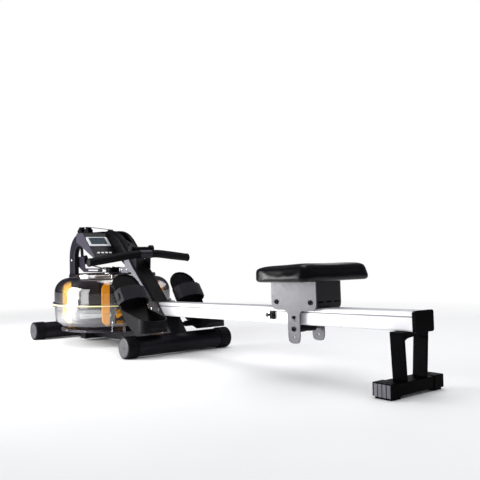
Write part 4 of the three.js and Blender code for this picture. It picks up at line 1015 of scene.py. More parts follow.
@dataclass(frozen=True)
class TankSizes:
    """Sizes of the water tank, of what turns in it and of what sits on its lid.

    Attributes:
        x: place of the tank's axis along X.
        radius: outer radius at the flanges.
        flange: outer radius of the flanges.
        wall: thickness of the walls.
        foot: underside of the lower shell.
        low_radius: radius of its flat bottom.
        bevel_top: top of its bevelled foot.
        draft: how much narrower the lower shell is at its bevel.
        flange_foot: underside of the lower flange.
        flange_top: top of it.
        upper_foot: underside of the upper flange.
        shoulder_radius: radius of the rounded shoulder.
        shoulder_top: height of its top.
        lid_radius: radius of the raised lid.
        lid_top: height of the lid.
        bearing_hole: radius of the hole in the lid.
        ring_inner: inner radius of the base ring.
        ring_outer: outer radius of it.
        ring_foot: underside of it.
        bolts: number of bolts on it.
        sides: number of sides of the turned shells.
        arc_steps: number of parts of the rounded shoulder.
        water: height of the water.
        core: radius inside which the impeller is painted near-black as painted shade.
        blade_turn: turn of the blades about the shaft.
        bore: radius of the holes round the shaft.
        shaft: radius of the shaft.
        shaft_foot: lower end of the shaft.
        shaft_top: upper end of it.
        housing: outer radius of the bearing housing.
        neck: radius of its part in the hole.
        drum: outer radius of the belt drum.
        drum_core: radius of the drum between its rims.
        plug: outer radius of the fill plug.
        plug_neck: radius of its part in the lid.
    """

    x: float = -0.671
    radius: float = 0.266
    flange: float = 0.274
    wall: float = 0.004
    foot: float = 0.0756
    low_radius: float = 0.224
    bevel_top: float = 0.1076
    draft: float = 0.004
    flange_foot: float = 0.175
    flange_top: float = 0.181
    upper_foot: float = 0.1866
    shoulder_radius: float = 0.066
    shoulder_top: float = 0.303
    lid_radius: float = 0.200
    lid_top: float = 0.321
    bearing_hole: float = 0.0303
    ring_inner: float = 0.150
    ring_outer: float = 0.237
    ring_foot: float = 0.0663
    bolts: int = 12
    sides: int = 128
    arc_steps: int = 10
    water: float = 0.150
    core: float = 0.193
    blade_turn: float = math.radians(-5.0)
    bore: float = 0.0095
    shaft: float = 0.009
    shaft_foot: float = 0.0799
    shaft_top: float = 0.352
    housing: float = 0.05
    neck: float = 0.0295
    drum: float = 0.046
    drum_core: float = 0.031
    plug: float = 0.025
    plug_neck: float = 0.0207


@dataclass(frozen=True)
class Tank:
    """The two-part water tank with its water, impeller, seal, base ring and belt drum."""

    shop: Workshop
    sizes: TankSizes = TankSizes()

    @property
    def _foot(self) -> Vector:
        """The point of the tank's axis on the floor."""
        return Vector((self.sizes.x, 0, 0))

    def _turned(self, name: str, profile: Points, steps: int, angle: float) -> bpy.types.Object:
        """Turns a piece about the tank's axis."""
        return Bench.turned(name, profile, self._foot, Axis.Z, steps, angle)

    def _turn(self, angle: float) -> Matrix:
        """A turn about the tank's axis."""
        turn = Matrix.Translation(self._foot) @ Matrix.Rotation(angle, 4, "Z")
        return turn @ Matrix.Translation(-self._foot)

    def _arc(self, inset: float) -> Points:
        """Corners of the shoulder's quarter circle from the wall up, or one inside it."""
        s = self.sizes
        across, up = s.lid_radius, s.shoulder_top - s.shoulder_radius
        reach = s.shoulder_radius - inset
        turns = [math.pi / 2 * step / s.arc_steps for step in range(s.arc_steps + 1)]
        return [(across + reach * math.cos(turn), up + reach * math.sin(turn)) for turn in turns]

    def _upper(self) -> bpy.types.Object:
        """Turns the upper shell, with its flange, shoulder and raised lid."""
        s = self.sizes
        lid = s.lid_radius
        profile = [(s.radius - s.wall, s.upper_foot), (s.flange - 0.0008, s.upper_foot),
                   (s.flange, s.upper_foot + 0.0008), (s.flange, s.upper_foot + 0.0052),
                   (s.flange - 0.0008, s.upper_foot + 0.006), (s.radius + 0.001, s.upper_foot + 0.006),
                   (s.radius, s.upper_foot + 0.007), *self._arc(0.0),
                   (lid + 0.0012, s.shoulder_top), (lid, s.shoulder_top + 0.0012), (lid, s.lid_top - 0.006),
                   (lid - 0.0018, s.lid_top - 0.0018), (lid - 0.006, s.lid_top),
                   (0.130, s.lid_top), (0.128, s.lid_top - 0.0015), (0.118, s.lid_top - 0.0015),
                   (0.116, s.lid_top), (s.bearing_hole, s.lid_top), (s.bearing_hole, s.lid_top - s.wall),
                   (lid - 0.006, s.lid_top - s.wall), (lid - s.wall, s.shoulder_top - s.wall),
                   *reversed(self._arc(s.wall))]
        profile.append(profile[0])
        return self._turned("tank_upper", profile, s.sides, 40.0)

    def _lower(self) -> bpy.types.Object:
        """Turns the lower shell with its bevelled foot."""
        s = self.sizes
        outer = s.radius - s.draft
        profile = [(0, s.foot), (s.low_radius - 0.004, s.foot), (s.low_radius, s.foot + 0.001),
                   (outer - 0.003, s.bevel_top - 0.003), (outer, s.bevel_top + 0.002),
                   (s.radius, s.flange_foot - 0.001), (s.radius + 0.001, s.flange_foot),
                   (s.flange - 0.0008, s.flange_foot), (s.flange, s.flange_foot + 0.0008),
                   (s.flange, s.flange_top - 0.0008), (s.flange - 0.0008, s.flange_top),
                   (s.radius - s.wall, s.flange_top), (outer - s.wall, s.bevel_top),
                   (s.low_radius - s.wall, s.foot + s.wall), (0, s.foot + s.wall)]
        return self._turned("tank_lower", profile, s.sides, 40.0)

    def _seal(self) -> bpy.types.Object:
        """Turns the pale seal between the shells."""
        s = self.sizes
        low, high = s.flange_top + 0.0003, s.upper_foot - 0.0003
        profile = [(s.radius - s.wall, low), (s.flange - 0.001, low), (s.flange, low + 0.001),
                   (s.flange, high - 0.001), (s.flange - 0.001, high), (s.radius - s.wall, high),
                   (s.radius - s.wall, low)]
        return self._turned("tank_seal", profile, s.sides, 30.0)

    def _ring(self) -> bpy.types.Object:
        """Turns the base ring that the bolts sit on."""
        s = self.sizes
        top = s.ring_foot + 0.009
        step = s.ring_foot + 0.0045
        edge = s.ring_outer - 0.010
        profile = [(s.ring_inner, s.ring_foot), (s.ring_outer, s.ring_foot), (s.ring_outer, step - 0.0006),
                   (s.ring_outer - 0.0006, step), (edge, step), (edge, top), (s.ring_inner, top),
                   (s.ring_inner, s.ring_foot)]
        return self._turned("tank_ring", profile, s.sides, 30.0)

    def _bolt(self) -> bpy.types.Object:
        """Makes one hexagon bolt head with a washer, at the near side of the flange ring."""
        s = self.sizes
        spot = Vector((s.x, -s.ring_outer + 0.005, s.ring_foot + 0.0045))
        washer = Bench.turned("ring_washer", [(0, 0), (0.0046, 0), (0.0046, 0.0008), (0, 0.0008)], spot,
                              Axis.Z, 24)
        bpy.ops.mesh.primitive_cylinder_add(vertices=6, radius=0.0036, depth=0.003,
                                            location=spot + Vector((0, 0, 0.0022)))
        head = bpy.context.object
        bpy.ops.object.transform_apply(location=True, rotation=True, scale=True)
        Bench.bevel(head, 0.0004, 1, 50)
        return Bench.join(washer, head)

    def _bolts(self) -> bpy.types.Object:
        """Copies the bolt round the ring and joins the copies."""
        s = self.sizes
        first = self._bolt()
        others = []
        for index in range(1, s.bolts):
            twin = Bench.copy(first, f"ring_bolt_{index}")
            twin.data.transform(self._turn(math.tau * index / s.bolts))
            others.append(twin)
        bolts = Bench.join(first, *others)
        bolts.name = "ring_bolts"
        Bench.smooth(bolts, 30)
        return bolts

    def _water(self) -> bpy.types.Object:
        """Turns the body of water that stands in the lower shell."""
        s = self.sizes
        gap = s.wall + 0.0015
        outer = s.radius - s.draft - gap
        profile = [(0, s.foot + gap), (s.low_radius - gap, s.foot + gap), (outer, s.bevel_top + 0.001),
                   (outer + 0.002, s.water + 0.001), (outer, s.water), (0, s.water)]
        return self._turned("tank_water", profile, 96, 40.0)

    def _bearing(self) -> bpy.types.Object:
        """Turns the bearing housing on the lid."""
        s = self.sizes
        base = s.lid_top + 0.0003
        profile = [(s.bore, base - 0.010), (s.neck, base - 0.010), (s.neck, base), (s.housing - 0.001, base),
                   (s.housing, base + 0.0006), (s.housing, base + 0.0018), (s.housing - 0.001, base + 0.0024),
                   (s.bore, base + 0.0024), (s.bore, base - 0.010)]
        return self._turned("bearing_housing", profile, 72, 30.0)

    def _plug(self) -> bpy.types.Object:
        """Turns the fill plug with its rim on the lid."""
        low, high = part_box("fill_plug")
        centre = Vector(((low.x + high.x) / 2, (low.y + high.y) / 2, 0))
        s = self.sizes
        lid, top = s.lid_top, high.z
        profile = [(0, lid - 0.004), (s.plug_neck, lid - 0.004), (s.plug_neck, lid + 0.0003),
                   (s.plug - 0.0007, lid + 0.0003), (s.plug, lid + 0.001), (s.plug, lid + 0.0033),
                   (s.plug - 0.0007, lid + 0.004), (s.plug_neck, lid + 0.004),
                   (s.plug_neck - 0.0002, top - 0.003), (s.plug_neck - 0.0022, top - 0.0005),
                   (s.plug_neck - 0.0037, top), (0, top)]
        return Bench.turned("fill_plug_made", profile, centre, Axis.Z, 72, 30.0)

    def _shaft(self) -> bpy.types.Object:
        """Turns the impeller's shaft."""
        s = self.sizes
        foot, top, radius = s.shaft_foot, s.shaft_top, s.shaft
        profile = [(0, foot), (radius - 0.0005, foot), (radius, foot + 0.0006), (radius, top - 0.001),
                   (radius - 0.001, top), (0, top)]
        return self._turned("shaft_made", profile, 48, 30.0)

    def _drum(self) -> bpy.types.Object:
        """Turns the belt drum on top of the shaft."""
        s = self.sizes
        low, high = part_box("belt_drum")
        foot, top, rim = low.z, high.z, s.drum
        profile = [(s.bore, foot), (rim - 0.001, foot), (rim, foot + 0.0008), (rim, foot + 0.0022),
                   (rim - 0.0005, foot + 0.003), (s.drum_core, foot + 0.0045), (s.drum_core, top - 0.0045),
                   (rim - 0.0005, top - 0.003), (rim, top - 0.0022), (rim, top - 0.0008), (rim - 0.001, top),
                   (0.024, top), (0.023, top - 0.002), (s.bore, top - 0.002), (s.bore, foot)]
        return self._turned("drum_made", profile, 72, 30.0)

    def build(self) -> None:
        """Builds the tank."""
        s = self.sizes
        smoke = SpecialFinishes.shell("smoked shell", (0.90, 0.885, 0.87), (0.10, 0.08, 0.07), 0.55,
                                      (0.46, 0.82))
        clear = SpecialFinishes.shell("clear shell", (0.97, 0.97, 0.97), (0.42, 0.38, 0.33), 0.6,
                                      (0.72, 0.95))
        Bench.dress(self._upper(), smoke, Place("frame", "smoke_tank", ("tank_upper_shell",)))
        Bench.dress(self._lower(), clear, Place("frame", "clear_tank", ("tank_lower_shell",)))
        Bench.dress(self._seal(), PALE_SEAL, Place("frame", "pale_seal", ("tank_gasket",)))
        Bench.dress(self._ring(), DARK_STEEL, Place("frame", "grey_steel", ("tank_base_ring",)))
        Bench.dress(self._bolts(), BRIGHT_STEEL, Place("frame", "bright_steel"))
        Bench.dress(self._water(), SpecialFinishes.water(), Place("frame", "clear_tank"))
        Bench.dress(self._bearing(), BRIGHT_STEEL, Place("frame", "bright_steel", ("shaft_bearing",)))
        Bench.dress(self._plug(), BLACK_PLASTIC, Place("frame", "black_plastic", ("fill_plug",)))
        blades = self.shop.refined("impeller", 0.0008, 2, 40)
        blades.data.transform(self._turn(s.blade_turn))
        Bench.dress(blades, SpecialFinishes.impeller(s.x, s.core, s.water),
                    Place("impeller", "amber_plastic", ("impeller",)))
        Bench.dress(self._shaft(), BRIGHT_STEEL, Place("impeller", "bright_steel", ("impeller_shaft",)))
        Bench.dress(self._drum(), BLACK_PLASTIC, Place("belt_drum", "black_plastic", ("belt_drum",)))


@dataclass(frozen=True)
class FrameParts:
    """Steel frame: beam, bent post, upright, brackets and the rear foot."""

    shop: Workshop

    BOLTS = (("post_bolt_low", (-1.0225, -0.041, 0.140), 0.0065, -0.0035),
             ("post_bolt_high", (-1.0225, -0.041, 0.385), 0.0065, -0.0035),
             ("plate_bolt_front", (-0.505, -0.0453, 0.339), 0.0055, -0.003),
             ("plate_bolt_rear", (-0.462, -0.0453, 0.339), 0.0055, -0.003),
             ("socket_bolt_front", (-0.262, -0.0433, 0.176), 0.006, -0.0032),
             ("socket_bolt_rear", (-0.205, -0.0433, 0.176), 0.006, -0.0032))
    BARS = (("spine_beam", SATIN_BLACK, "satin_black", 0.003, 3),
            ("tank_cross_bar", SATIN_BLACK, "satin_black", 0.003, 3),
            ("rail_socket", SATIN_BLACK, "satin_black", 0.0015, 3),
            ("middle_upright", SATIN_BLACK, "satin_black", 0.0015, 3),
            ("rear_leg_near", SHADED_BLACK, "satin_black", 0.0015, 3),
            ("rear_leg_far", SHADED_BLACK, "satin_black", 0.0015, 3),
            ("rear_leg_plate", SHADED_BLACK, "satin_black", 0.001, 3),
            ("rear_foot_tube", SHADED_BLACK, "satin_black", 0.003, 3),
            ("arch_frame", SHEEN_BLACK, "satin_black", 0.0035, 3),
            ("pulley_bracket", SATIN_BLACK, "satin_black", 0.0006, 2),
            ("front_arm", DARK_STEEL, "grey_steel", 0.001, 2),
            ("bracket_plate", GREY_STEEL, "grey_steel", 0.0008, 2))
    PANELS = 4
    PANEL_MARGIN = 0.004
    PANEL_GAP = 0.002
    PANEL_THICK = 0.0016
    SCREW_X = 0.9975
    SCREW_INSET = 0.021

    def _bolt(self, name: str, spot: Vector, axis: Axis, radius: float, rise: float) -> bpy.types.Object:
        """Makes a domed bolt head with a socket in it.

        Args:
            name: name of the bolt.
            spot: centre of its seat.
            axis: direction it points along.
            radius: radius of the head.
            rise: height of the head, negative to point the other way.

        Returns:
            The bolt head.
        """
        shares = ((0, 0), (1, 0), (1, 0.35), (0.92, 0.7), (0.7, 1), (0.42, 1), (0.38, 0.45), (0, 0.45))
        profile = [(radius * out, rise * up) for out, up in shares]
        return Bench.turned(name, profile, spot, axis, 18, 40.0)

    def _bolts(self) -> None:
        """Sets the bolt heads that hold the frame together."""
        for name, spot, radius, rise in self.BOLTS:
            bolt = self._bolt(name, Vector(spot), Axis.Y, radius, rise)
            Bench.dress(bolt, BRIGHT_STEEL, Place("frame", "bright_steel"))

    def _end_plate(self, low: Vector, high: Vector, edge: float, out: float) -> bpy.types.Object:
        """Makes the plate on the end of a rear cap, as a row of raised panels.

        Args:
            low: lowest corner of the near cap.
            high: highest corner of it.
            edge: place of the cap's end face along Y.
            out: direction away from it, -1 or 1.

        Returns:
            The plate.
        """
        width = (high.x - low.x - 2 * self.PANEL_MARGIN) / self.PANELS
        panels = []
        for index in range(self.PANELS):
            left = low.x + self.PANEL_MARGIN + width * index
            bpy.ops.mesh.primitive_cube_add(size=1.0)
            panel = bpy.context.object
            panel.scale = (width - self.PANEL_GAP, self.PANEL_THICK, high.z - low.z - 0.009)
            panel.location = (left + width / 2, edge + out * 0.0004, (low.z + high.z) / 2 + 0.001)
            bpy.ops.object.transform_apply(location=True, rotation=True, scale=True)
            Bench.faces(panel, lambda spot, normal: normal.y * out > 0.9)
            bpy.ops.mesh.inset(thickness=0.0012, depth=0.0006)
            Bench.close()
            Bench.bevel(panel, 0.0004, 1, 40)
            panels.append(panel)
        return Bench.join(panels[0], *panels[1:])

    def _rear_caps(self) -> None:
        """Makes the rear foot's end caps, each with a ribbed grey end plate and a screw on top."""
        near = self.shop.dressed("rear_foot_cap_near", SHADED_BLACK, Place("frame", "grey_steel"), 0.0018, 3)
        self.shop.dressed("rear_foot_cap_far", SHADED_BLACK, Place("frame", "grey_steel"), 0.0018, 3)
        low, high = Bench.box(near)
        for side, edge, out in (("near", low.y, -1.0), ("far", -low.y, 1.0)):
            end = self._end_plate(low, high, edge, out)
            end.name = f"rear_cap_plate_{side}"
            Bench.dress(end, FOOT_GREY, Place("frame", "grey_steel"))
            spot = Vector((self.SCREW_X, edge - out * self.SCREW_INSET, high.z))
            screw = self._bolt(f"rear_cap_screw_{side}", spot, Axis.Z, 0.005, 0.0024)
            Bench.dress(screw, DARK_STEEL, Place("frame", "bright_steel"))

    def build(self) -> None:
        """Builds the frame."""
        for node, finish, slot, edge, steps in self.BARS:
            self.shop.dressed(node, finish, Place("frame", slot), edge, steps)
        self._bolts()
        self._rear_caps()


@dataclass(frozen=True)
class RailSizes:
    """Sizes of the rail's groove, its end cap and the stud beside the splice block.

    Attributes:
        pitch: angle by which the rail rises to its rear end.
        groove: lower and upper edge of the groove, measured square to the rail.
        cap_shorter: how much farther back the end cap starts.
        cap_lip: depth of the cap's front edge.
        stud_ahead: from the block's front to the stud's axis.
        stud_proud: from the block's outer face to the stud's middle.
        stud_radius: radius of the stud's stem.
        nut_radius: radius of the nut on it.
        nut_start: where the nut starts, from the stud's middle.
        nut_end: where the nut ends.
        nut_edge: rounding of the nut.
    """

    pitch: float = 0.021
    groove: Band = (0.1919, 0.1950)
    cap_shorter: float = 0.021
    cap_lip: float = 0.008
    stud_ahead: float = 0.0072
    stud_proud: float = 0.006
    stud_radius: float = 0.0038
    nut_radius: float = 0.0066
    nut_start: float = -0.005
    nut_end: float = -0.0102
    nut_edge: float = 0.001


@dataclass(frozen=True)
class Rail:
    """White rail with its end cap and the small splice block on its near side."""

    shop: Workshop
    sizes: RailSizes = RailSizes()

    def _stud(self) -> None:
        """Turns the stud with its nut beside the splice block."""
        s = self.sizes
        low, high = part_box("splice_block")
        root = high.y - low.y - s.stud_proud
        profile = [(0, root), (s.stud_radius, root), (s.stud_radius, s.nut_start),
                   (s.nut_radius - 0.0004, s.nut_start), (s.nut_radius, s.nut_start - 0.0006),
                   (s.nut_radius, s.nut_end + s.nut_edge), (s.nut_radius - s.nut_edge, s.nut_end),
                   (0, s.nut_end)]
        centre = Vector((low.x - s.stud_ahead, low.y + s.stud_proud, (low.z + high.z) / 2))
        stud = Bench.turned("splice_stud", profile, centre, Axis.Y, 24, 30.0)
        Bench.dress(stud, DARK_STEEL, Place("frame", "black_plastic"))

    def build(self) -> None:
        """Builds the rail."""
        s = self.sizes
        rail = self.shop.refined("rail", 0.0012, 2, 50)
        Bench.dress(rail, SpecialFinishes.rail(s.pitch, s.groove), Place("frame", "white_rail", ("rail",)))
        cap = self.shop.refined("rail_end_cap", 0.0025, 3)
        lip = Bench.box(cap)[0].x + s.cap_lip
        Bench.bent(cap, lambda spot: Vector((s.cap_shorter if spot.x < lip else 0.0, 0, 0)))
        Bench.dress(cap, SHADED_BLACK, Place("frame", "black_plastic", ("rail_end_cap",)))
        self.shop.dressed("splice_block", BLACK_PLASTIC, Place("frame", "black_plastic"), 0.0012)
        self._stud()


@dataclass(frozen=True)
class Belt:
    """Drive belt, its guides and the sloping cover."""

    shop: Workshop

    @staticmethod
    def _guide(outer: float, half: float) -> Points:
        """Near half of a guide wheel, with its hub and raised rim."""
        return [(BORE, -half), (outer * 0.55, -half), (outer * 0.58, -half + 0.0006),
                (outer - 0.0035, -half + 0.0006), (outer - 0.0006, -half), (outer, -half + 0.0005),
                (outer, -half + 0.0014), (outer - 0.0024, -half + 0.0022)]

    @staticmethod
    def _roller(outer: float, half: float) -> Points:
        """Near half of the plain roller under the belt at the top of the cover."""
        return [(BORE, -half), (outer - 0.001, -half), (outer, -half + 0.0008), (outer, -half + 0.0016),
                (outer - 0.0026, -half + 0.0024)]

    def build(self) -> None:
        """Builds the belt's parts."""
        self.shop.dressed("slope_cover", BLACK_PLASTIC, Place("frame", "black_plastic"), 0.003, 3)
        self.shop.dressed("drive_belt", BELT, Place("frame", "webbing"), 0.0)
        for node, body in (("front_guide_pulley", "front_guide"), ("rear_guide_pulley", "rear_guide"),
                           ("lower_guide_pulley", "lower_guide")):
            self.shop.wheel(node, BLACK_PLASTIC, Place(body, "black_plastic"), self._guide, 48, 35.0)
        place = Place("cover_roller", "black_plastic")
        self.shop.wheel("cover_roller", BLACK_PLASTIC, place, self._roller, 40, 35.0)


@dataclass(frozen=True)
class Console:
    """Console housing, bezel, display and four buttons."""

    shop: Workshop

    # End of the near end face that is painted grey as a painted highlight.
    LIT_FACE_UP_TO = -0.1545
    BUTTONS = 4

    def build(self) -> None:
        """Builds the console."""
        housing = self.shop.refined("console_housing", 0.002, 3)
        Bench.dress(housing, SpecialFinishes.console(self.LIT_FACE_UP_TO),
                    Place("frame", "black_plastic", ("console_housing",)))
        self.shop.dressed("console_bezel", SILVER_PLASTIC, Place("frame", "silver_plastic"), 0.001, 3)
        self.shop.dressed("console_screen", SpecialFinishes.display(), Place("frame", "screen"), 0.0004)
        for index in range(1, self.BUTTONS + 1):
            self.shop.dressed(f"console_button_{index}", BUTTON_SILVER,
                              Place(f"button_{index}", "silver_plastic"), 0.0008, 3)


@dataclass(frozen=True)
class HandleSizes:
    """Sizes of the bent handle and its two grips.

    Attributes:
        x: place of the bar's middle along X.
        z: height of it.
        half: half the length of the bar.
        radius: radius of the bar.
        grip_radius: radius of a grip.
        grip_start: where a grip starts, from the middle.
        bend: where the bar bends, from the middle.
        bend_half: half the length of a bend.
        sweep: how far an end lies forward and down.
        tilt: rise of the bar for each metre to the far side.
        steps: number of parts that the bar and a grip are divided into along their length.
        swell: how much thicker a grip is at its middle.
    """

    x: float = -0.378
    z: float = 0.406
    half: float = 0.250
    radius: float = 0.0125
    grip_radius: float = 0.0184
    grip_start: float = 0.031
    bend: float = 0.060
    bend_half: float = 0.026
    sweep: tuple[float, float] = (-0.037, -0.025)
    tilt: float = 0.03
    steps: int = 40
    swell: float = 0.0009


@dataclass(frozen=True)
class Handle:
    """Bent handle bar with two grips, the belt clamp and the rest that holds it."""

    shop: Workshop
    sizes: HandleSizes = HandleSizes()

    def _shift(self, spot: Vector) -> Vector:
        """How far the bent bar is from the straight one at a place."""
        s = self.sizes
        past = abs(spot.y) - s.bend
        if past < -s.bend_half:
            reach = 0.0
        elif past < s.bend_half:
            reach = (past + s.bend_half) ** 2 / (4 * s.bend_half)
        else:
            reach = past
        share = reach / (s.half - s.bend)
        return Vector((s.sweep[0] * share, 0, s.sweep[1] * share + s.tilt * spot.y))

    def _bar(self) -> None:
        """Turns the bar and bends it."""
        s = self.sizes
        places = [s.half * 0.98 * step / s.steps for step in range(-s.steps, s.steps + 1)]
        profile = [(0, places[0]), *((s.radius, place) for place in places), (0, places[-1])]
        bar = Bench.turned("handle_bar_made", profile, Vector((s.x, 0, s.z)), Axis.Y, 32)
        Bench.bent(bar, self._shift)
        Bench.smooth(bar, 40.0)
        Bench.dress(bar, SATIN_BLACK, Place("handle", "satin_black", ("handle_bar",)))

    def _grip(self) -> None:
        """Turns the near grip with its end rings and rounded end, and mirrors it to the far side."""
        s = self.sizes
        end = s.half + 0.004
        start, radius = s.grip_start, s.grip_radius
        body = [(radius - 0.0014, start), (radius - 0.0004, start + 0.001), (radius - 0.0004, start + 0.005),
                (radius - 0.0014, start + 0.0065)]
        for step in range(s.steps + 1):
            share = step / s.steps
            swell = s.swell * math.sin(math.pi * share)
            body.append((radius - 0.0012 + swell, start + 0.008 + (end - start - 0.016) * share))
        body += [(radius, end - 0.0075), (radius, end - 0.004), (radius - 0.0012, end - 0.0015),
                 (radius - 0.004, end), (0, end - 0.0004)]
        profile = [(0, start), (s.radius, start), *body]
        for side, sign in (("near", -1.0), ("far", 1.0)):
            turned = [(reach, sign * place) for reach, place in profile]
            grip = Bench.turned(f"grip_{side}", turned, Vector((s.x, 0, s.z)), Axis.Y, 48)
            Bench.bent(grip, self._shift)
            Bench.smooth(grip, 40.0)
            Bench.dress(grip, BLACK_RUBBER, Place("handle", "black_rubber", (f"handle_grip_{side}",)))

    def build(self) -> None:
        """Builds the handle."""
        self._bar()
        self._grip()
        self.shop.dressed("handle_clamp", DARK_STEEL, Place("handle", "black_plastic"), 0.001)
        self.shop.dressed("handle_rest", SATIN_BLACK, Place("frame", "satin_black"), 0.001)


@dataclass(frozen=True)
class PadSizes:
    """Sizes used to stuff the seat pad.

    Attributes:
        shrink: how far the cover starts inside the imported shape.
        voxel: size of the cover's mesh.
        pressure: pressure in the cover.
        frames: frames that the cloth runs for.
        most: greatest way that the cloth may move a corner.
        calm_before: smoothing steps before the cloth.
        calm_after: smoothing steps after it.
        held: height over the board up to which the cover is held.
        fill: how far the front upper edge is filled out.
        lift: how far the upper edge is lifted.
        flat: radius of the middle that isn't filled out.
        fade: width over which the filling sets in.
        front_fade: length over which it fades to the rear.
    """

    shrink: float = 0.001
    voxel: float = 0.005
    pressure: float = 4.0
    frames: int = 14
    most: float = 0.002
    calm_before: int = 4
    calm_after: int = 9
    held: float = 0.006
    fill: float = 0.009
    lift: float = 0.0015
    flat: float = 0.07
    fade: float = 0.05
    front_fade: float = 0.16


@dataclass(frozen=True)
class TabSizes:
    """The carriage's side plates with their round lower ends, and its rear web.

    Attributes:
        x: middle of the lower end.
        half: half its width.
        radius: radius of its corners.
        web_depth: from the rear edge of the plates to the start of the rear web.
        web_half: half the width of the rear web.
        face: place of the plates' outer faces along Y.
        bolt: place of the bolt between the rollers, as x and z.
        bolt_radius: radius of its head.
        axle_radius: radius of the heads on the axles.
        head_height: height of a bolt head.
    """

    x: float = 0.6052
    half: float = 0.027
    radius: float = 0.024
    web_depth: float = 0.035
    web_half: float = 0.0525
    face: float = 0.0567
    bolt: tuple[float, float] = (0.6060, 0.1905)
    bolt_radius: float = 0.0052
    axle_radius: float = 0.0078
    head_height: float = 0.0042


@dataclass(frozen=True)
class Seat:
    """Rolling seat: carriage, rollers, bolts and the stuffed pad."""

    shop: Workshop
    pad: PadSizes = PadSizes()
    tab: TabSizes = TabSizes()

    ROLLERS = ("seat_roller_front", "seat_roller_rear", "seat_roller_lower")

    @staticmethod
    def _roller(outer: float, half: float) -> Points:
        """Near half of a rail roller, with a drawn-in middle."""
        return [(0.0062, -half), (outer - 0.002, -half), (outer - 0.0004, -half + 0.0008),
                (outer, -half + 0.002), (outer, -0.012), (outer - 0.001, -0.011)]

    def _star(self, name: str, seat: Vector, radius: float, out: float) -> bpy.types.Object:
        """Makes one star-headed bolt on a side plate.

        Args:
            name: name of the bolt.
            seat: middle of the head on the plate's outer face.
            radius: radius of the head.
            out: direction away from the plate, -1 or 1.

        Returns:
            The bolt head.
        """
        points = []
        corners = 24
        for index in range(corners):
            reach = radius * (1.0 if index % 4 in (0, 1) else 0.83)
            turn = math.tau * index / corners
            points.append(seat + Vector((reach * math.cos(turn), 0, reach * math.sin(turn))))
        head = Bench.slab(name, points, Vector((0, out * self.tab.head_height, 0)))
        Bench.faces(head, lambda spot, normal: normal.y * out > 0.9)
        bpy.ops.mesh.inset(thickness=radius * 0.25, depth=0.0006)
        bpy.ops.mesh.inset(thickness=radius * 0.2, depth=-0.0012)
        Bench.close()
        Bench.bevel(head, 0.0004, 2, 35)
        Bench.smooth(head, 30)
        return head

    def _stuffed(self) -> bpy.types.Object:
        """Stuffs the seat pad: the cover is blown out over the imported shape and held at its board."""
        p = self.pad
        pad = self.shop.solid("seat_pad", "seat_pad_made")
        pad.data.remesh_voxel_size = p.voxel
        pad.data.remesh_voxel_adaptivity = 0.0
        Bench.alone(pad)
        bpy.ops.object.voxel_remesh()
        Bench.edit(pad)
        bpy.ops.transform.shrink_fatten(value=-p.shrink)
        Bench.close()
        low, high = Bench.box(pad)
        middle = (low + high) / 2
        Bench.bent(pad, lambda spot: self._fuller(spot, low.z, high.z, middle))
        self._calm(pad, p.calm_before)
        self._blow(pad)
        self._calm(pad, p.calm_after)
        smooth = pad.modifiers.new("finer", "SUBSURF")
        smooth.levels = smooth.render_levels = 1
        Bench.apply(pad, smooth)
        bpy.ops.object.shade_smooth()
        return pad

    def _calm(self, pad: bpy.types.Object, steps: int) -> None:
        """Smooths the pad's surface over a number of steps."""
        calm = pad.modifiers.new("calm", "SMOOTH")
        calm.factor = 0.5
        calm.iterations = steps
        Bench.apply(pad, calm)

    def _fuller(self, spot: Vector, low: float, high: float, middle: Vector) -> Vector:
        """Shift that fills out the pad's upper edge.

        Args:
            spot: place of a corner.
            low: underside of the pad.
            high: top of the pad.
            middle: middle of the pad.

        Returns:
            The shift.
        """
        p = self.pad
        away = Vector((spot.x - middle.x, spot.y - middle.y, 0))
        rise = (spot.z - low) / (high - low)
        edge = unit((away.length - p.flat) / p.fade)
        front = unit(0.5 - (spot.x - middle.x) / p.front_fade)
        outward = p.fill * front * edge * max(0.0, math.sin(math.pi * min(1.0, rise) ** 2.2))
        upward = p.lift * edge * unit((rise - 0.5) * 2.5)
        return away.normalized() * outward + Vector((0, 0, upward))

    def _blow(self, pad: bpy.types.Object) -> None:
        """Runs the cloth on the pad's cover and limits how far it moves."""
        p = self.pad
        before = [vertex.co.copy() for vertex in pad.data.vertices]
        low = min(spot.z for spot in before)
        held = pad.vertex_groups.new(name="board")
        held.add([index for index, spot in enumerate(before) if spot.z < low + p.held], 1.0, "REPLACE")
        cloth = pad.modifiers.new("cover", "CLOTH")
        cloth.settings.vertex_group_mass = held.name
        cloth.settings.quality = 6
        cloth.settings.mass = 0.35
        cloth.settings.tension_stiffness = cloth.settings.compression_stiffness = 25.0
        cloth.settings.shear_stiffness = 12.0
        cloth.settings.bending_stiffness = 2.5
        cloth.settings.use_pressure = True
        cloth.settings.uniform_pressure_force = p.pressure
        cloth.settings.effector_weights.gravity = 0.0
        cloth.collision_settings.use_collision = False
        for step in range(1, p.frames + 1):
            bpy.context.scene.frame_set(step)
        Bench.apply(pad, cloth)
        for vertex, start in zip(pad.data.vertices, before):
            shift = vertex.co - start
            if shift.length > p.most:
                vertex.co = start + shift.normalized() * p.most
        bpy.context.scene.frame_set(1)

    def build(self) -> None:
        """Builds the seat."""
        carriage = self.shop.refined("seat_carriage", 0.001, 2)
        low, high = Bench.box(carriage)
        Bench.bent(carriage, lambda spot: self._squarer(spot, low.z))
        web = SpecialFinishes.carriage(high.x - self.tab.web_depth, self.tab.web_half)
        Bench.dress(carriage, web, Place("seat", "grey_steel", ("seat_carriage",)))
        for node in self.ROLLERS:
            self.shop.wheel(node, BLACK_RUBBER, Place(node, "black_rubber"), self._roller, 48, 30.0)
        self._heads()
        pad = self._stuffed()
        Bench.dress(pad, BLACK_VINYL, Place("seat", "black_vinyl", ("seat_pad",)))

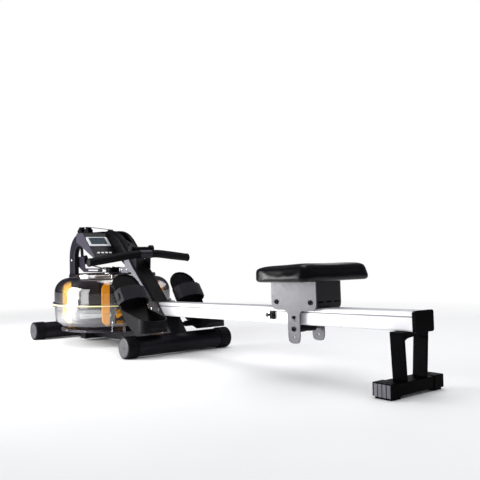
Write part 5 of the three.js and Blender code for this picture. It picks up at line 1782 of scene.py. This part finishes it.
    def _squarer(self, spot: Vector, foot: float) -> Vector:
        """Shift that makes the round lower end of each side plate squarer.

        Args:
            spot: place of a corner.
            foot: lowest place of the plates.

        Returns:
            The shift.
        """
        radius = self.tab.radius
        across = spot.x - self.tab.x
        side = math.copysign(1.0, across)
        reach = Vector((across - side * (self.tab.half - radius), 0, spot.z - foot - radius))
        if reach.z > 0 or reach.x * side < 0 or reach.length < radius * 0.9:
            return Vector()
        widest = max(abs(reach.x), abs(reach.z)) / reach.length
        return reach * ((1.0 / widest) ** 0.5 - 1.0)

    def _heads(self) -> None:
        """Sets the star bolts on both plates, at the roller axles and between them."""
        spots = [(*self.tab.bolt, self.tab.bolt_radius)]
        for node in self.ROLLERS:
            start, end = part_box(node)
            spots.append(((start.x + end.x) / 2, (start.z + end.z) / 2, self.tab.axle_radius))
        for side, out in (("near", -1.0), ("far", 1.0)):
            for index, (x, z, radius) in enumerate(spots):
                seat = Vector((x, out * self.tab.face, z))
                head = self._star(f"axle_head_{side}_{index}", seat, radius, out)
                Bench.dress(head, BLACK_PLASTIC, Place("seat", "black_plastic"))


@dataclass(frozen=True)
class Footrests:
    """Tilting footrests with wide straps."""

    shop: Workshop

    def build(self) -> None:
        """Builds both footrests."""
        for side in ("near", "far"):
            body = f"footrest_{side}"
            self.shop.dressed(f"footrest_{side}", GLOSS_BLACK, Place(body, "black_rubber"), 0.0015, 3)
            self.shop.dressed(f"foot_strap_{side}", WEBBING, Place(body, "webbing"), 0.0008)


class Studio:
    """Camera, lamps, floor and backdrop."""

    CAMERA_PLACE = Vector((2.1187, -1.5223, 0.3846))
    TURN, RISE, ROLL = 50.43, -1.49, -1.07
    LENS = 49.52
    MIDDLE = (0.0, 0.0, 0.25)
    LAMPS = (("overhead", (0.2, 0.5, 3.4), MIDDLE, (4.5, 3.0), 92.0),
             ("near_side", (-1.7, -3.1, 0.95), (-0.9, 0, 0.5), (1.7, 1.8), 56.0),
             ("tank_window", (-1.02, -1.22, 0.46), (-0.72, -0.2, 0.3), (0.55, 0.9), 27.0),
             ("tank_side", (-0.44, -1.28, 0.42), (-0.62, -0.2, 0.3), (0.36, 0.8), 5.0),
             ("far_side", (-0.6, 3.4, 1.5), MIDDLE, (3.0, 1.2), 16.0))
    WORLD = (0.95, 0.96, 1.0), 0.45
    WORLD_IN_SHINE = (0.8, 0.78, 1.0), 0.10
    WORLD_TO_CAMERA = (1.0, 1.0, 1.0), 1.0
    FLOOR_SIZE = 60.0
    FLOOR_WHITE = (1.9, 3.2)

    def _camera(self) -> None:
        """Sets up the camera where the photo was taken."""
        bpy.ops.object.camera_add(location=self.CAMERA_PLACE)
        camera = bpy.context.object
        turn, rise = math.radians(self.TURN), math.radians(self.RISE)
        back = Vector((math.sin(turn) * math.cos(rise), -math.cos(turn) * math.cos(rise), math.sin(rise)))
        roll = Matrix.Rotation(math.radians(self.ROLL), 3, "Z").to_quaternion()
        camera.rotation_mode = "QUATERNION"
        camera.rotation_quaternion = (-back).to_track_quat("-Z", "Y") @ roll
        camera.data.lens = self.LENS
        camera.data.sensor_width = 36.0
        camera.data.sensor_fit = "HORIZONTAL"
        camera.data.clip_start = 0.02
        bpy.context.scene.camera = camera

    def _lamp(self, name: str, place: Vector, aim: Vector, size: tuple[float, float], power: float) -> None:
        """Adds one soft lamp.

        Args:
            name: name of the lamp.
            place: where it stands.
            aim: where it points.
            size: width and height.
            power: its power in watts.
        """
        bpy.ops.object.light_add(type="AREA", location=place)
        lamp = bpy.context.object
        lamp.name = name
        lamp.data.shape = "RECTANGLE"
        lamp.data.size, lamp.data.size_y = size
        lamp.data.energy = power
        lamp.rotation_mode = "QUATERNION"
        lamp.rotation_quaternion = (aim - place).to_track_quat("-Z", "Y")

    def _floor(self) -> None:
        """Lays a wide pale floor."""
        bpy.ops.mesh.primitive_plane_add(size=self.FLOOR_SIZE, location=(0, 0, 0))
        floor = bpy.context.object
        floor.name = "studio_floor"
        floor.data.materials.append(SpecialFinishes.floor(*self.FLOOR_WHITE))

    def _world(self) -> None:
        """Sets a soft pale light all round, white to the camera."""
        world = bpy.data.worlds.new("studio")
        bpy.context.scene.world = world
        world.use_nodes = True
        tree = world.node_tree
        tree.nodes.clear()
        paths = tree.nodes.new("ShaderNodeLightPath")
        grounds = []
        for colour, strength in (self.WORLD, self.WORLD_IN_SHINE, self.WORLD_TO_CAMERA):
            ground = tree.nodes.new("ShaderNodeBackground")
            ground.inputs["Color"].default_value = (*colour, 1.0)
            ground.inputs["Strength"].default_value = strength
            grounds.append(ground.outputs[0])
        shown = grounds[0]
        for kind, ground in (("Is Glossy Ray", grounds[1]), ("Is Camera Ray", grounds[2])):
            mix = tree.nodes.new("ShaderNodeMixShader")
            tree.links.new(paths.outputs[kind], mix.inputs[0])
            tree.links.new(shown, mix.inputs[1])
            tree.links.new(ground, mix.inputs[2])
            shown = mix.outputs[0]
        out = tree.nodes.new("ShaderNodeOutputWorld")
        tree.links.new(shown, out.inputs["Surface"])

    def build(self) -> None:
        """Builds the studio."""
        bpy.context.scene.view_settings.view_transform = "Standard"
        self._world()
        self._floor()
        for name, place, aim, size, power in self.LAMPS:
            self._lamp(name, Vector(place), Vector(aim), size, power)
        self._camera()


def main() -> None:
    """Builds the machine and the studio around it."""
    logging.basicConfig(level=logging.INFO, format="%(name)s %(message)s")
    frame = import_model()
    shop = Workshop(frame["nodes"])
    parts = [FloorTubes(), Tank(shop), FrameParts(shop), Rail(shop), Belt(shop), Console(shop), Handle(shop),
             Seat(shop), Footrests(shop)]
    for part in parts:
        part.build()
    Studio().build()


if __name__ == "__main__":
    main()
